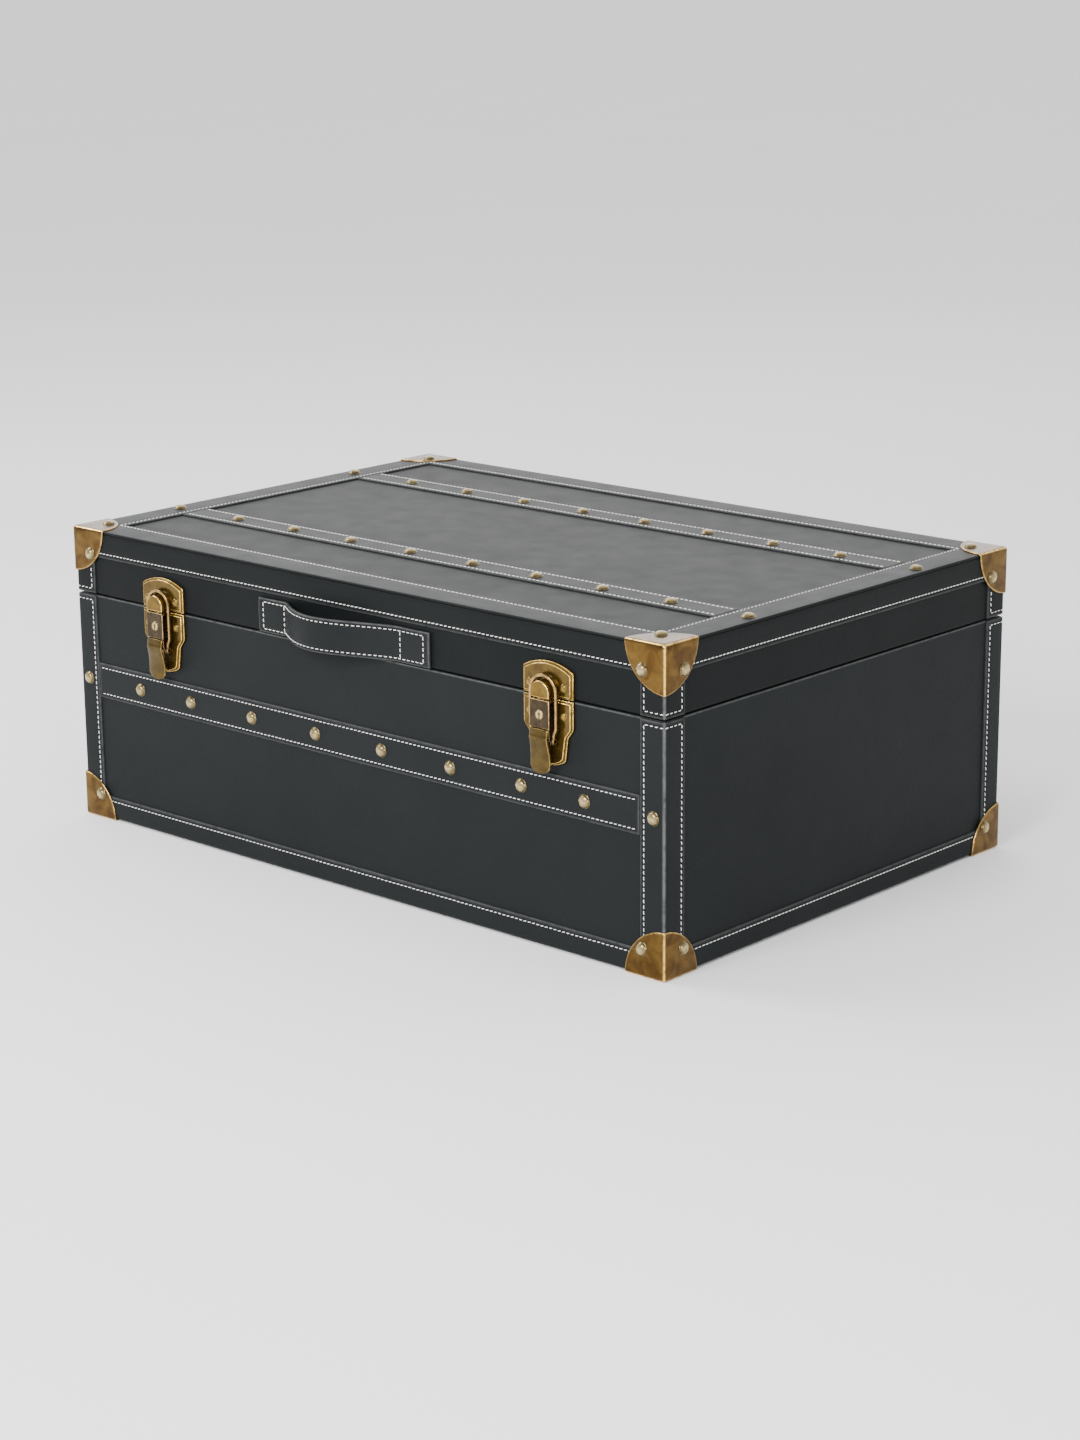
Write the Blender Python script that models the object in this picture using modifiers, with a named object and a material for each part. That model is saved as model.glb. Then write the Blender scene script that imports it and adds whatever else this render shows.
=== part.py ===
"""A leather-covered footlocker, closed: board carcass, leather covers and strips, brass hardware.

Metres, +Z up. The front, with the latches and the handle, faces -Y, and the trunk stands on z = 0.
Run it with: blender --background --python part.py
"""

import math

import bmesh
import bpy
from mathutils import Matrix, Vector

# ---- driving dimensions, in metres ------------------------------------------------------------
WIDTH = 0.762  # over the leather strips, along X
DEPTH = 0.504  # over the leather strips, along Y
HEIGHT = 0.297  # floor to the top of the lid binding
SEAM_Z = 0.2315  # middle of the joint line between base and lid
SEAM_GAP = 0.001
LID_ANGLE = math.radians(100)  # how far the lid opens before its ribbon stays are taut

GAP = 0.0003  # air that faceted neighbours keep between them
BOARD = 0.010
COVER = 0.0012  # leather glued over the boards
STRIP = 0.0016  # straps, bindings and corner strips on the cover
BRASS = 0.0012
LINING = 0.0008

# ---- layers: how far each face lies inside the outer face of the leather strips ----------------
COVER_FACE = STRIP + GAP
COVER_BACK = COVER_FACE + COVER
BOARD_FACE = COVER_BACK + GAP
BOARD_BACK = BOARD_FACE + BOARD
LINING_FACE = BOARD_BACK + GAP
LINING_BACK = LINING_FACE + LINING
BRASS_BACK = -GAP
BRASS_FACE = BRASS_BACK - BRASS

SOLE_Z = BRASS + GAP  # underside of the base binding: the brass corners stand below it
BASE_TOP = SEAM_Z - SEAM_GAP / 2
LID_BOTTOM = SEAM_Z + SEAM_GAP / 2

# ---- leather strips and nails ------------------------------------------------------------------
CORNER_STRIP = 0.0275  # width of each leg of a corner strip
BASE_BINDING = 0.023  # height of the binding round the foot, and its width under the trunk
LID_BINDING = 0.027  # height of the binding round the lid
LID_BORDER = 0.0365  # width of that binding on the lid's top
STRAP_WIDTH = 0.036
FRONT_STRAP_Z = 0.1445
TOP_STRAP_Y = 0.124
EDGE_ROUND = 0.003  # radius of the folded leather along the trunk's edges

NAIL_RADIUS = 0.0066
NAIL_HEIGHT = 0.0038
FRONT_NAILS = (0.0435, 0.1305, 0.217, 0.291)  # distance of each nail from the middle, both sides
TOP_NAILS = (0.0405, 0.121, 0.201, 0.281)
STRIP_NAIL_INSET = 0.0125  # nails that hold a strap's end through the corner strip or the border

# ---- brass corners -----------------------------------------------------------------------------
CORNER_REACH = 0.045  # radius of the three lobes, from the corner's tip
CORNER_RIVET = 0.0255  # each rivet's distance from the two edges of its lobe

# ---- latches: u along X, v up from the seam, p out from the leather cover -----------------------
LATCH_X = 0.2508
PLATE_HALF = 0.0287
PLATE_FLANGE = 0.0025
PLATE_FACE = 0.0043
PLATE_STEP = 0.0020  # the raised face lies this far inside the flange
LEVER_FACE = 0.0144
LEVER_SHEET = 0.0018
LEVER_HALF = 0.0112  # of its front sheet
WALL_HALF = 0.0101  # over its two side walls
LEVER_WALL = 0.0016
LEVER_PIVOT = (0.0092, -0.0045)  # (p, v)
LOOP_PIVOT = (0.0087, -0.037)
LOOP_INNER = 0.0130
LOOP_BAR = 0.0033
LOOP_FOOT = 0.0104  # the arms step in to this inner half width below the lever's box
LOOP_CENTRE_V = 0.0057
HOOK_CENTRE_V = 0.0057
HOOK_RADIUS = 0.0107
HOOK_BOTTOM_V = 0.0013
PIN_RADIUS = 0.0013
PIN_PLAY = 0.0001
PLUG_RADIUS = 0.0042
PLUG_V = -0.0138
RIVET_RADIUS = 0.0045
RIVET_HEIGHT = 0.0022

# ---- hinges: u along X, v up from the seam, p out from the leather cover -------------------------
HINGE_X = 0.235
HINGE_HALF = 0.030
HINGE_LEAF = 0.028
HINGE_AXIS_P = 0.0038
HINGE_BARREL = 0.0034
KNUCKLE_HALF = 0.0098  # half the length of the upper leaf's middle knuckle

# ---- handle ------------------------------------------------------------------------------------
HANDLE_ENDS = (-0.1142, 0.1085)
HANDLE_GRIP = (-0.077, 0.071)  # the stretch that stands off the lid
HANDLE_Z = 0.2490
HANDLE_WIDTH = 0.033
HANDLE_THICK = 0.0036
HANDLE_BOW = 0.0235

# ---- ribbon stays, in (y, z) from the hinge axis -------------------------------------------------
STAY_X = 0.3655
STAY_THICK = 0.0012
STAY_HALF = 0.009
STAY_RADIUS = 0.300
STAY_DROP = -0.0365  # the lower end, below the axis
STAY_RISE = 0.0305  # the upper end, above it
STAY_TAIL = 0.012

# The handle reaches further forward than the hinges reach back, so the carcass stands a little
# behind the origin, which is the middle of the whole trunk's outline.
FRONT_REACH = HANDLE_BOW + HANDLE_THICK + GAP - COVER_FACE
BACK_REACH = HINGE_AXIS_P + HINGE_BARREL + GAP - COVER_FACE
CARCASS_Y = (FRONT_REACH - BACK_REACH) / 2
HINGE_Y = DEPTH / 2 - COVER_FACE + GAP + HINGE_AXIS_P

SIDES = (("left", -1), ("right", 1))


# ---- scene, materials and helpers --------------------------------------------------------------
def clear_scene():
    for obj in list(bpy.data.objects):
        bpy.data.objects.remove(obj)


def new_collection(name):
    collection = bpy.data.collections.new(name)
    bpy.context.scene.collection.children.link(collection)
    return collection


def new_material(name, colour, roughness, metallic=0.0):
    material = bpy.data.materials.new(name)
    material.use_nodes = True
    shader = material.node_tree.nodes["Principled BSDF"]
    shader.inputs["Base Color"].default_value = (*colour, 1.0)
    shader.inputs["Roughness"].default_value = roughness
    shader.inputs["Metallic"].default_value = metallic
    return material


clear_scene()
PARTS = new_collection("footlocker")
CUTTERS = new_collection("cutters")
CARCASS = bpy.data.objects.new("carcass_centre", None)
CARCASS.location.y = CARCASS_Y
PARTS.objects.link(CARCASS)

LEATHER_MAT = new_material("black_leather", (0.012, 0.013, 0.014), 0.5)
BRASS_MAT = new_material("antique_brass", (0.38, 0.24, 0.09), 0.32, 1.0)
BOARD_MAT = new_material("fibreboard", (0.42, 0.29, 0.17), 0.8)
LINING_MAT = new_material("lining_fabric", (0.33, 0.27, 0.21), 0.95)
STEEL_MAT = new_material("pin_steel", (0.45, 0.42, 0.36), 0.35, 1.0)


def add_object(name, mesh, material, location=(0, 0, 0), rotation=(0, 0, 0)):
    """A part of the trunk, placed from the middle of the carcass."""
    obj = bpy.data.objects.new(name, mesh)
    PARTS.objects.link(obj)
    obj.parent = CARCASS
    obj.location = location
    obj.rotation_euler = rotation
    if not mesh.materials:
        mesh.materials.append(material)
    return obj


def add_cutter(name, mesh, location=(0, 0, 0), rotation=(0, 0, 0)):
    """A helper shape that a Boolean uses. It isn't part of the trunk."""
    obj = bpy.data.objects.new(name, mesh)
    CUTTERS.objects.link(obj)
    obj.parent = CARCASS
    obj.location = location
    obj.rotation_euler = rotation
    obj.hide_render = True
    obj.display_type = "WIRE"
    return obj


def add_boolean(obj, other, operation="DIFFERENCE"):
    modifier = obj.modifiers.new(operation.lower(), "BOOLEAN")
    modifier.operation = operation
    modifier.object = other


def finished_mesh(obj):
    """The mesh of obj with its modifiers applied, in its own frame."""
    bpy.context.view_layer.update()
    graph = bpy.context.evaluated_depsgraph_get()
    return bpy.data.meshes.new_from_object(obj.evaluated_get(graph))


def add_bevel(obj, width, segments=2, angle=50):
    modifier = obj.modifiers.new("bevel", "BEVEL")
    modifier.width = width
    modifier.segments = segments
    modifier.limit_method = "ANGLE"
    modifier.angle_limit = math.radians(angle)


def box_mesh(low, high):
    low, high = Vector(low), Vector(high)
    size = Matrix.Diagonal((*(high - low), 1.0))
    bm = bmesh.new()
    bmesh.ops.create_cube(bm, size=1.0, matrix=Matrix.Translation((low + high) / 2) @ size)
    mesh = bpy.data.meshes.new("box")
    bm.to_mesh(mesh)
    bm.free()
    return mesh


def rounded_box_mesh(low, high, radius, segments=3, faces="all"):
    """A box with rounded edges: all of them, or only the upright ones."""
    mesh = box_mesh(low, high)
    bm = bmesh.new()
    bm.from_mesh(mesh)
    edges = [
        edge for edge in bm.edges
        if faces == "all" or abs((edge.verts[0].co - edge.verts[1].co).z) > radius
    ]
    bmesh.ops.bevel(
        bm, geom=edges, offset=radius, offset_type="OFFSET", segments=segments,
        profile=0.5, affect="EDGES",
    )
    bm.to_mesh(mesh)
    bm.free()
    return mesh


def shell_box(inset, z_low, z_high):
    """The corners of a box that lies inset from the strips' outer faces on all four sides."""
    x, y = WIDTH / 2 - inset, DEPTH / 2 - inset
    return (-x, -y, z_low), (x, y, z_high)


def cylinder_mesh(radius, low, high, axis="X", centre=(0.0, 0.0), segments=16):
    """A cylinder from low to high along its axis. centre holds its two other coordinates, in XYZ order."""
    bm = bmesh.new()
    bmesh.ops.create_cone(
        bm, cap_ends=True, segments=segments, radius1=radius, radius2=radius, depth=high - low
    )
    turn = {
        "X": Matrix.Rotation(math.radians(90), 4, "Y"),
        "Y": Matrix.Rotation(math.radians(-90), 4, "X"),
        "Z": Matrix.Identity(4),
    }[axis]
    middle = list(centre)
    middle.insert("XYZ".index(axis), (low + high) / 2)
    bmesh.ops.transform(bm, matrix=Matrix.Translation(middle) @ turn, verts=bm.verts)
    mesh = bpy.data.meshes.new("cylinder")
    bm.to_mesh(mesh)
    bm.free()
    return mesh


def outline_mesh(outline, thickness):
    """A flat closed outline in XY, given as points, made solid from z = 0 to the thickness."""
    curve = bpy.data.curves.new("outline", "CURVE")
    curve.dimensions = "2D"
    curve.fill_mode = "BOTH"
    curve.extrude = thickness / 2
    spline = curve.splines.new("POLY")
    spline.points.add(len(outline) - 1)
    spline.use_cyclic_u = True
    for point, (x, y) in zip(spline.points, outline):
        point.co = (x, y, 0, 1)
    guide = bpy.data.objects.new("outline", curve)
    CUTTERS.objects.link(guide)
    mesh = finished_mesh(guide)
    bpy.data.objects.remove(guide)
    bm = bmesh.new()
    bm.from_mesh(mesh)
    bmesh.ops.remove_doubles(bm, verts=bm.verts, dist=0.00001)
    bmesh.ops.translate(bm, verts=bm.verts, vec=(0, 0, thickness / 2))
    bmesh.ops.recalc_face_normals(bm, faces=bm.faces)
    bm.to_mesh(mesh)
    bm.free()
    return mesh


def turned_mesh(profile, segments):
    """A turned shape about Z. The profile's (radius, z) points run down its outer side."""
    bm = bmesh.new()
    points = [bm.verts.new((radius, 0, z)) for radius, z in profile]
    for upper, lower in zip(points, points[1:]):
        bm.edges.new((upper, lower))
    mesh = bpy.data.meshes.new("turned")
    bm.to_mesh(mesh)
    bm.free()
    guide = add_cutter("turned", mesh)
    screw = guide.modifiers.new("turn", "SCREW")
    screw.steps = segments
    screw.render_steps = segments
    screw.use_merge_vertices = True
    screw.merge_threshold = 0.00001
    solid = finished_mesh(guide)
    bpy.data.objects.remove(guide)
    return solid


def dome_mesh(radius, height, root, segments=12, rings=3):
    """A domed nail or rivet head on z = 0, with a root below it that fuses with what it holds."""
    steps = [math.pi / 2 * i / rings for i in range(rings + 1)]
    profile = [(radius * math.sin(angle), height * math.cos(angle)) for angle in steps]
    return turned_mesh([*profile, (radius, -root), (0, -root)], segments)


def join_meshes(pieces):
    """One mesh of several (mesh, matrix) pairs."""
    bm = bmesh.new()
    for mesh, matrix in pieces:
        first = len(bm.verts)
        bm.from_mesh(mesh)
        bm.verts.ensure_lookup_table()
        bmesh.ops.transform(bm, matrix=matrix, verts=bm.verts[first:])
    joined = bpy.data.meshes.new("joined")
    bm.to_mesh(joined)
    bm.free()
    return joined


def arc(centre, radius, start, end, steps):
    """Points of an arc, its angles in degrees, both ends included."""
    angles = [math.radians(start + (end - start) * i / steps) for i in range(steps + 1)]
    return [(centre[0] + radius * math.cos(a), centre[1] + radius * math.sin(a)) for a in angles]


FACING = {  # turns a shape's +Z to point out of each side of the trunk
    "front": Matrix.Rotation(math.radians(90), 4, "X"),
    "back": Matrix.Rotation(math.radians(-90), 4, "X"),
    "right": Matrix.Rotation(math.radians(90), 4, "Y"),
    "top": Matrix.Identity(4),
}


# ---- carcass: boards, covers and linings -------------------------------------------------------
def add_wall_boards(body, z_low, z_high):
    """Front and back boards run the full width, and the end boards fit between them."""
    x_out, x_in = WIDTH / 2 - BOARD_FACE, WIDTH / 2 - BOARD_BACK
    y_out, y_in = DEPTH / 2 - BOARD_FACE, DEPTH / 2 - BOARD_BACK
    for name, y_low, y_high in (("front", -y_out, -y_in), ("back", y_in, y_out)):
        mesh = box_mesh((-x_out, y_low, z_low), (x_out, y_high, z_high))
        add_object(f"{body}_{name}_board", mesh, BOARD_MAT)
    for name, side in SIDES:
        x_low, x_high = sorted((side * x_in, side * x_out))
        y_end = y_in - GAP
        mesh = box_mesh((x_low, -y_end, z_low), (x_high, y_end, z_high))
        add_object(f"{body}_{name}_board", mesh, BOARD_MAT)


def add_carcass():
    base_low = SOLE_Z + STRIP + GAP + COVER + GAP
    base_high = BASE_TOP - COVER - GAP
    lid_low = LID_BOTTOM + COVER + GAP
    lid_high = HEIGHT - BOARD_FACE
    add_wall_boards("base", base_low, base_high)
    add_wall_boards("lid", lid_low, lid_high)
    add_object(
        "base_floor_board",
        box_mesh(*shell_box(BOARD_BACK + GAP, base_low, base_low + BOARD)), BOARD_MAT,
    )
    add_object(
        "lid_top_board",
        box_mesh(*shell_box(BOARD_BACK + GAP, lid_high - BOARD, lid_high)), BOARD_MAT,
    )
    add_lining("base_lining", base_low + BOARD + GAP, base_high, opens_up=True)
    add_lining("lid_lining", lid_low, lid_high - BOARD - GAP, opens_up=False)
    add_base_cover(base_high)
    add_lid_cover(lid_low)


def add_lining(name, z_low, z_high, opens_up):
    """A thin tray of fabric on the inside of the boards, open towards the other half."""
    lining = add_object(name, box_mesh(*shell_box(LINING_FACE, z_low, z_high)), LINING_MAT)
    spare = LINING * 4
    low = z_low + LINING if opens_up else z_low - spare
    high = z_high + spare if opens_up else z_high - LINING
    add_boolean(lining, add_cutter(f"{name}_hollow", box_mesh(*shell_box(LINING_BACK, low, high))))


def add_base_cover(board_top):
    """Leather over the outside of the base, folded over its rim to the lining."""
    sheet_low = SOLE_Z + STRIP + GAP
    mesh = rounded_box_mesh(
        *shell_box(COVER_FACE, sheet_low, BASE_TOP), EDGE_ROUND, faces="upright"
    )
    cover = add_object("base_leather_cover", mesh, LEATHER_MAT)
    around = box_mesh(*shell_box(COVER_BACK, -COVER, board_top + GAP))
    through = box_mesh(*shell_box(LINING_BACK, -COVER, HEIGHT))
    add_boolean(cover, add_cutter("base_cover_boards", around))
    add_boolean(cover, add_cutter("base_cover_mouth", through))
    sole = box_mesh(*shell_box(BOARD_FACE, sheet_low, sheet_low + COVER))
    add_object("base_sole_sheet", sole, LEATHER_MAT)


def add_lid_cover(board_bottom):
    """Leather over the lid's top and sides, folded in under its rim to the lining."""
    mesh = rounded_box_mesh(
        *shell_box(COVER_FACE, LID_BOTTOM, HEIGHT - COVER_FACE), EDGE_ROUND, faces="upright"
    )
    cover = add_object("lid_leather_cover", mesh, LEATHER_MAT)
    board_top = HEIGHT - COVER_BACK
    around = box_mesh(*shell_box(COVER_BACK, board_bottom - GAP, board_top))
    mouth = box_mesh(*shell_box(LINING_BACK, LID_BOTTOM - COVER, board_bottom))
    add_boolean(cover, add_cutter("lid_cover_boards", around))
    add_boolean(cover, add_cutter("lid_cover_mouth", mouth))


# ---- leather strips, bindings and straps ---------------------------------------------------------
def add_bindings():
    """Folded leather round the foot of the base and round the edge of the lid."""
    spare = STRIP * 4
    base = add_object(
        "base_binding",
        rounded_box_mesh(*shell_box(0, SOLE_Z, SOLE_Z + BASE_BINDING), EDGE_ROUND, faces="upright"),
        LEATHER_MAT,
    )
    inside = shell_box(STRIP, SOLE_Z + STRIP, SOLE_Z + BASE_BINDING + spare)
    window = shell_box(BASE_BINDING, SOLE_Z - spare, HEIGHT)
    add_boolean(base, add_cutter("base_binding_inside", box_mesh(*inside)))
    add_boolean(base, add_cutter("base_binding_window", box_mesh(*window)))

    lid = add_object(
        "lid_binding",
        rounded_box_mesh(*shell_box(0, HEIGHT - LID_BINDING, HEIGHT), EDGE_ROUND, faces="upright"),
        LEATHER_MAT,
    )
    inside = shell_box(STRIP, HEIGHT - LID_BINDING - spare, HEIGHT - STRIP)
    window = shell_box(LID_BORDER, HEIGHT - LID_BINDING - spare, HEIGHT + spare)
    add_boolean(lid, add_cutter("lid_binding_inside", box_mesh(*inside)))
    add_boolean(lid, add_cutter("lid_binding_window", box_mesh(*window)))
    border_x = WIDTH / 2 - STRIP_NAIL_INSET - GAP
    nails = [("top", (x, y, HEIGHT)) for x in (-border_x, border_x) for y in (-TOP_STRAP_Y, TOP_STRAP_Y)]
    add_boolean(lid, add_nails("lid_binding_nails", nails), "UNION")


def add_nails(name, places):
    """Nail heads as one helper, to be fused with the strap that they hold. Places are (facing, point)."""
    dome = dome_mesh(NAIL_RADIUS, NAIL_HEIGHT, STRIP / 2)
    return add_cutter(
        name, join_meshes([(dome, Matrix.Translation(point) @ FACING[side]) for side, point in places])
    )


def corner_outline():
    """An L with a rounded outer corner: the section of a corner strip at the +X, -Y corner."""
    x, y = WIDTH / 2, -DEPTH / 2
    outer = arc((x - EDGE_ROUND, y + EDGE_ROUND), EDGE_ROUND, -90, 0, 3)
    return [
        (x - CORNER_STRIP, y), *outer, (x, y + CORNER_STRIP), (x - STRIP, y + CORNER_STRIP),
        (x - STRIP, y + STRIP), (x - CORNER_STRIP, y + STRIP),
    ]


def add_corner_strips():
    """Eight upright strips folded round the corners: four on the base and four on the lid."""
    heights = {
        "base": (SOLE_Z + BASE_BINDING + GAP, BASE_TOP - GAP),
        "lid": (LID_BOTTOM + GAP, HEIGHT - LID_BINDING - GAP),
    }
    for body, (z_low, z_high) in heights.items():
        mesh = outline_mesh(corner_outline(), z_high - z_low)
        for x_name, x_side in SIDES:
            for y_name, y_side in (("front", 1), ("back", -1)):
                strip = add_object(
                    f"{body}_corner_strip_{y_name}_{x_name}", mesh, LEATHER_MAT, (0, 0, z_low)
                )
                strip.scale = (x_side, y_side, 1)
                if body == "base" and y_name == "front":
                    nail_x = WIDTH / 2 - STRIP_NAIL_INSET
                    nail = ("front", (x_side * nail_x, -DEPTH / 2, FRONT_STRAP_Z))
                    add_boolean(strip, add_nails(f"{strip.name}_nail", [nail]), "UNION")


def add_straps():
    """The front strap and the two straps across the lid, each with its row of nails."""
    front_half = WIDTH / 2 - CORNER_STRIP - GAP
    z_low, z_high = FRONT_STRAP_Z - STRAP_WIDTH / 2, FRONT_STRAP_Z + STRAP_WIDTH / 2
    y_face = -DEPTH / 2
    mesh = box_mesh((-front_half, y_face, z_low), (front_half, y_face + STRIP, z_high))
    strap = add_object("front_strap", mesh, LEATHER_MAT)
    nails = [("front", (side * x, y_face, FRONT_STRAP_Z)) for x in FRONT_NAILS for side in (-1, 1)]
    add_boolean(strap, add_nails("front_strap_nails", nails), "UNION")

    top_half = WIDTH / 2 - LID_BORDER - GAP
    for name, y in (("front", -TOP_STRAP_Y), ("back", TOP_STRAP_Y)):
        low = (-top_half, y - STRAP_WIDTH / 2, HEIGHT - STRIP)
        mesh = box_mesh(low, (top_half, y + STRAP_WIDTH / 2, HEIGHT))
        strap = add_object(f"lid_strap_{name}", mesh, LEATHER_MAT)
        nails = [("top", (side * x, y, HEIGHT)) for x in TOP_NAILS for side in (-1, 1)]
        add_boolean(strap, add_nails(f"lid_strap_{name}_nails", nails), "UNION")


# ---- brass corners -------------------------------------------------------------------------------
def brass_corner_mesh(flat_top):
    """The corner at +X, -Y and the top, its tip at the origin: a pressed cap with three round lobes.

    Each lobe has a rivet, but a corner that the trunk stands on has none in its flat lobe.
    """
    size = CORNER_REACH * 1.5
    cap = add_cutter("corner_cap", rounded_box_mesh((-size, 0, -size), (0, size, 0), EDGE_ROUND))
    inner = box_mesh((-2 * size, BRASS, -2 * size), (-BRASS, 2 * size, -BRASS))
    bm = bmesh.new()
    bmesh.ops.create_uvsphere(bm, u_segments=32, v_segments=24, radius=CORNER_REACH)
    ball = bpy.data.meshes.new("ball")
    bm.to_mesh(ball)
    bm.free()
    add_boolean(cap, add_cutter("corner_ball", ball), "INTERSECT")
    add_boolean(cap, add_cutter("corner_inside", inner))
    dome = dome_mesh(NAIL_RADIUS, NAIL_HEIGHT, BRASS / 2)
    near, far = -CORNER_RIVET, CORNER_RIVET
    places = [("front", (near, 0, near)), ("right", (0, far, near))]
    if not flat_top:
        places.append(("top", (near, far, 0)))
    rivets = join_meshes([(dome, Matrix.Translation(at) @ FACING[side]) for side, at in places])
    add_boolean(cap, add_cutter("corner_rivets", rivets), "UNION")
    mesh = finished_mesh(cap)
    bpy.data.objects.remove(cap)
    return mesh


def add_brass_corners():
    tip_x, tip_y = WIDTH / 2 - BRASS_FACE, DEPTH / 2 - BRASS_FACE
    for body, z, z_side in (("base", 0.0, -1), ("lid", HEIGHT - BRASS_FACE, 1)):
        mesh = brass_corner_mesh(flat_top=body == "base")
        for x_name, x_side in SIDES:
            for y_name, y_side in (("front", 1), ("back", -1)):
                corner = add_object(
                    f"{body}_brass_corner_{y_name}_{x_name}", mesh, BRASS_MAT,
                    (x_side * tip_x, -y_side * tip_y, z),
                )
                corner.scale = (x_side, y_side, z_side)


# ---- latches ---------------------------------------------------------------------------------
def latch_frame(side):
    """Where a latch's own frame stands: u along X, v along Z and p towards -Y."""
    return side * LATCH_X, -DEPTH / 2 + COVER_FACE - GAP, SEAM_Z


def side_profile_mesh(outline, u_low, u_high):
    """A plate seen from the side: its outline is (p, v), and it is solid from u_low to u_high."""
    mesh = outline_mesh([(v, p) for p, v in outline], u_high - u_low)
    stand = Matrix(((0, 0, 1, u_low), (0, -1, 0, 0), (1, 0, 0, 0), (0, 0, 0, 1)))
    mesh.transform(stand)
    return mesh


def face_plate_mesh(outline, p_low, p_high):
    """A plate seen from the front: its outline is (u, v), and it is solid from p_low to p_high."""
    mesh = outline_mesh(outline, p_high - p_low)
    mesh.transform(Matrix.Translation((0, -p_low, 0)) @ FACING["front"])
    return mesh


def pin_hole(pivot, radius, half_length):
    """A cylinder along X through a pivot given as (p, v)."""
    p, v = pivot
    return cylinder_mesh(radius, -half_length, half_length, "X", (-p, v))


def upper_plate_outline(inset):
    """The lid's plate: straight sides, a flat foot at the seam and an arched head."""
    half, foot, shoulder, crown = PLATE_HALF - inset, 0.0008 + inset, 0.0245 - inset, 0.0320 - inset
    rise = crown - shoulder
    radius = (half * half + rise * rise) / (2 * rise)
    spread = math.degrees(math.asin(half / radius))
    return [(-half, foot), (half, foot), *arc((0, crown - radius), radius, 90 - spread, 90 + spread, 10)]


def lower_plate_outline(inset):
    """The base's plate: wide at the seam, then a waist and a bowed foot."""
    half, waist, foot_half = PLATE_HALF - inset, 0.0225 - inset, 0.0197 - inset
    foot = -0.0556 + inset * 0.8
    bow = [(foot_half * (1 - i / 4), foot - 0.0055 * (1 - (1 - i / 4) ** 2)) for i in range(1, 8)]
    return [
        (half, -0.0008 - inset), (half, -0.0258), (waist, -0.0340), (foot_half, foot),
        *bow, (-foot_half, foot), (-waist, -0.0340), (-half, -0.0258), (-half, -0.0008 - inset),
    ]


def pressed_plate(name, outline, rivet_v, side):
    """A pressed plate: a thin flange and a raised face, with two rivets."""
    place = latch_frame(side)
    plate = add_object(name, face_plate_mesh(outline(0), 0, PLATE_FLANGE), BRASS_MAT, place)
    raised = face_plate_mesh(outline(PLATE_STEP), PLATE_FLANGE / 2, PLATE_FACE)
    add_boolean(plate, add_cutter(f"{name}_face", raised, place), "UNION")
    dome = dome_mesh(RIVET_RADIUS, RIVET_HEIGHT, BRASS / 2, segments=12, rings=2)
    rivets = join_meshes(
        [
            (dome, Matrix.Translation((u, -PLATE_FACE, rivet_v)) @ FACING["front"])
            for u in (-0.0195, 0.0195)
        ]
    )
    add_boolean(plate, add_cutter(f"{name}_rivets", rivets, place), "UNION")
    return plate


def add_upper_plate(name, side):
    """The lid's plate with its hook, a half-round block that the loop drops over."""
    plate = pressed_plate(f"latch_upper_plate_{name}", upper_plate_outline, 0.0105, side)
    place = latch_frame(side)
    head = arc((0, HOOK_CENTRE_V), HOOK_RADIUS, 0, 180, 12)
    outline = [(-HOOK_RADIUS, HOOK_BOTTOM_V), (HOOK_RADIUS, HOOK_BOTTOM_V), *head]
    hook = add_cutter(f"hook_{name}", face_plate_mesh(outline, PLATE_FACE / 2, LEVER_FACE), place)
    relief_face = LEVER_FACE - 0.0022
    relief = box_mesh((-0.02, -relief_face, -0.01), (0.02, -PLATE_FACE, 0.0032))
    add_boolean(hook, add_cutter(f"hook_relief_{name}", relief, place))
    add_boolean(plate, hook, "UNION")


def add_lower_plate(name, side):
    """The base's plate with the two ears that carry the lever's pin."""
    plate = pressed_plate(f"latch_lower_plate_{name}", lower_plate_outline, -0.0145, side)
    place = latch_frame(side)
    ear_radius, ear_root = 0.003, PLATE_FACE / 2
    p, v = LEVER_PIVOT
    outline = [(ear_root, -0.0080), *arc((p, v), ear_radius, 115, -50, 8), (ear_root, -0.0165)]
    for index, u in enumerate((-0.0082, 0.0066)):
        ear = add_cutter(f"ear_{name}_{index}", side_profile_mesh(outline, u, u + 0.0016), place)
        add_boolean(plate, ear, "UNION")
    hole = pin_hole(LEVER_PIVOT, PIN_RADIUS + PIN_PLAY, 0.012)
    add_boolean(plate, add_cutter(f"ear_hole_{name}", hole, place))


def lever_sheet_stations():
    """The lever's front sheet as (p, v, half width) of its outer face, from its top to the tip."""
    face, half = LEVER_FACE, LEVER_HALF
    bend = arc((face - 0.003, -0.0032), 0.003, 80, 0, 3)
    stations = [(p, v, half) for p, v in bend]
    stations += [(face, -0.0256, half), (face + 0.0002, -0.0262, 0.0103), (0.0158, -0.0285, 0.0103)]
    stations += [(0.0166, -0.0340, 0.0102), (0.0160, -0.0395, 0.0102), (0.0148, -0.0455, 0.0106)]
    stations += [(0.0138, -0.0520, 0.0112), (0.0135, -0.0575, 0.0114)]
    tip_start, tip_end = -0.0575, -0.0665
    for i in range(1, 5):
        share = i / 4.3
        v = tip_start + (tip_end - tip_start) * share
        stations.append((0.0135 + 0.0008 * share, v, 0.0114 * math.sqrt(1 - share ** 2.6)))
    return stations


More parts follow.
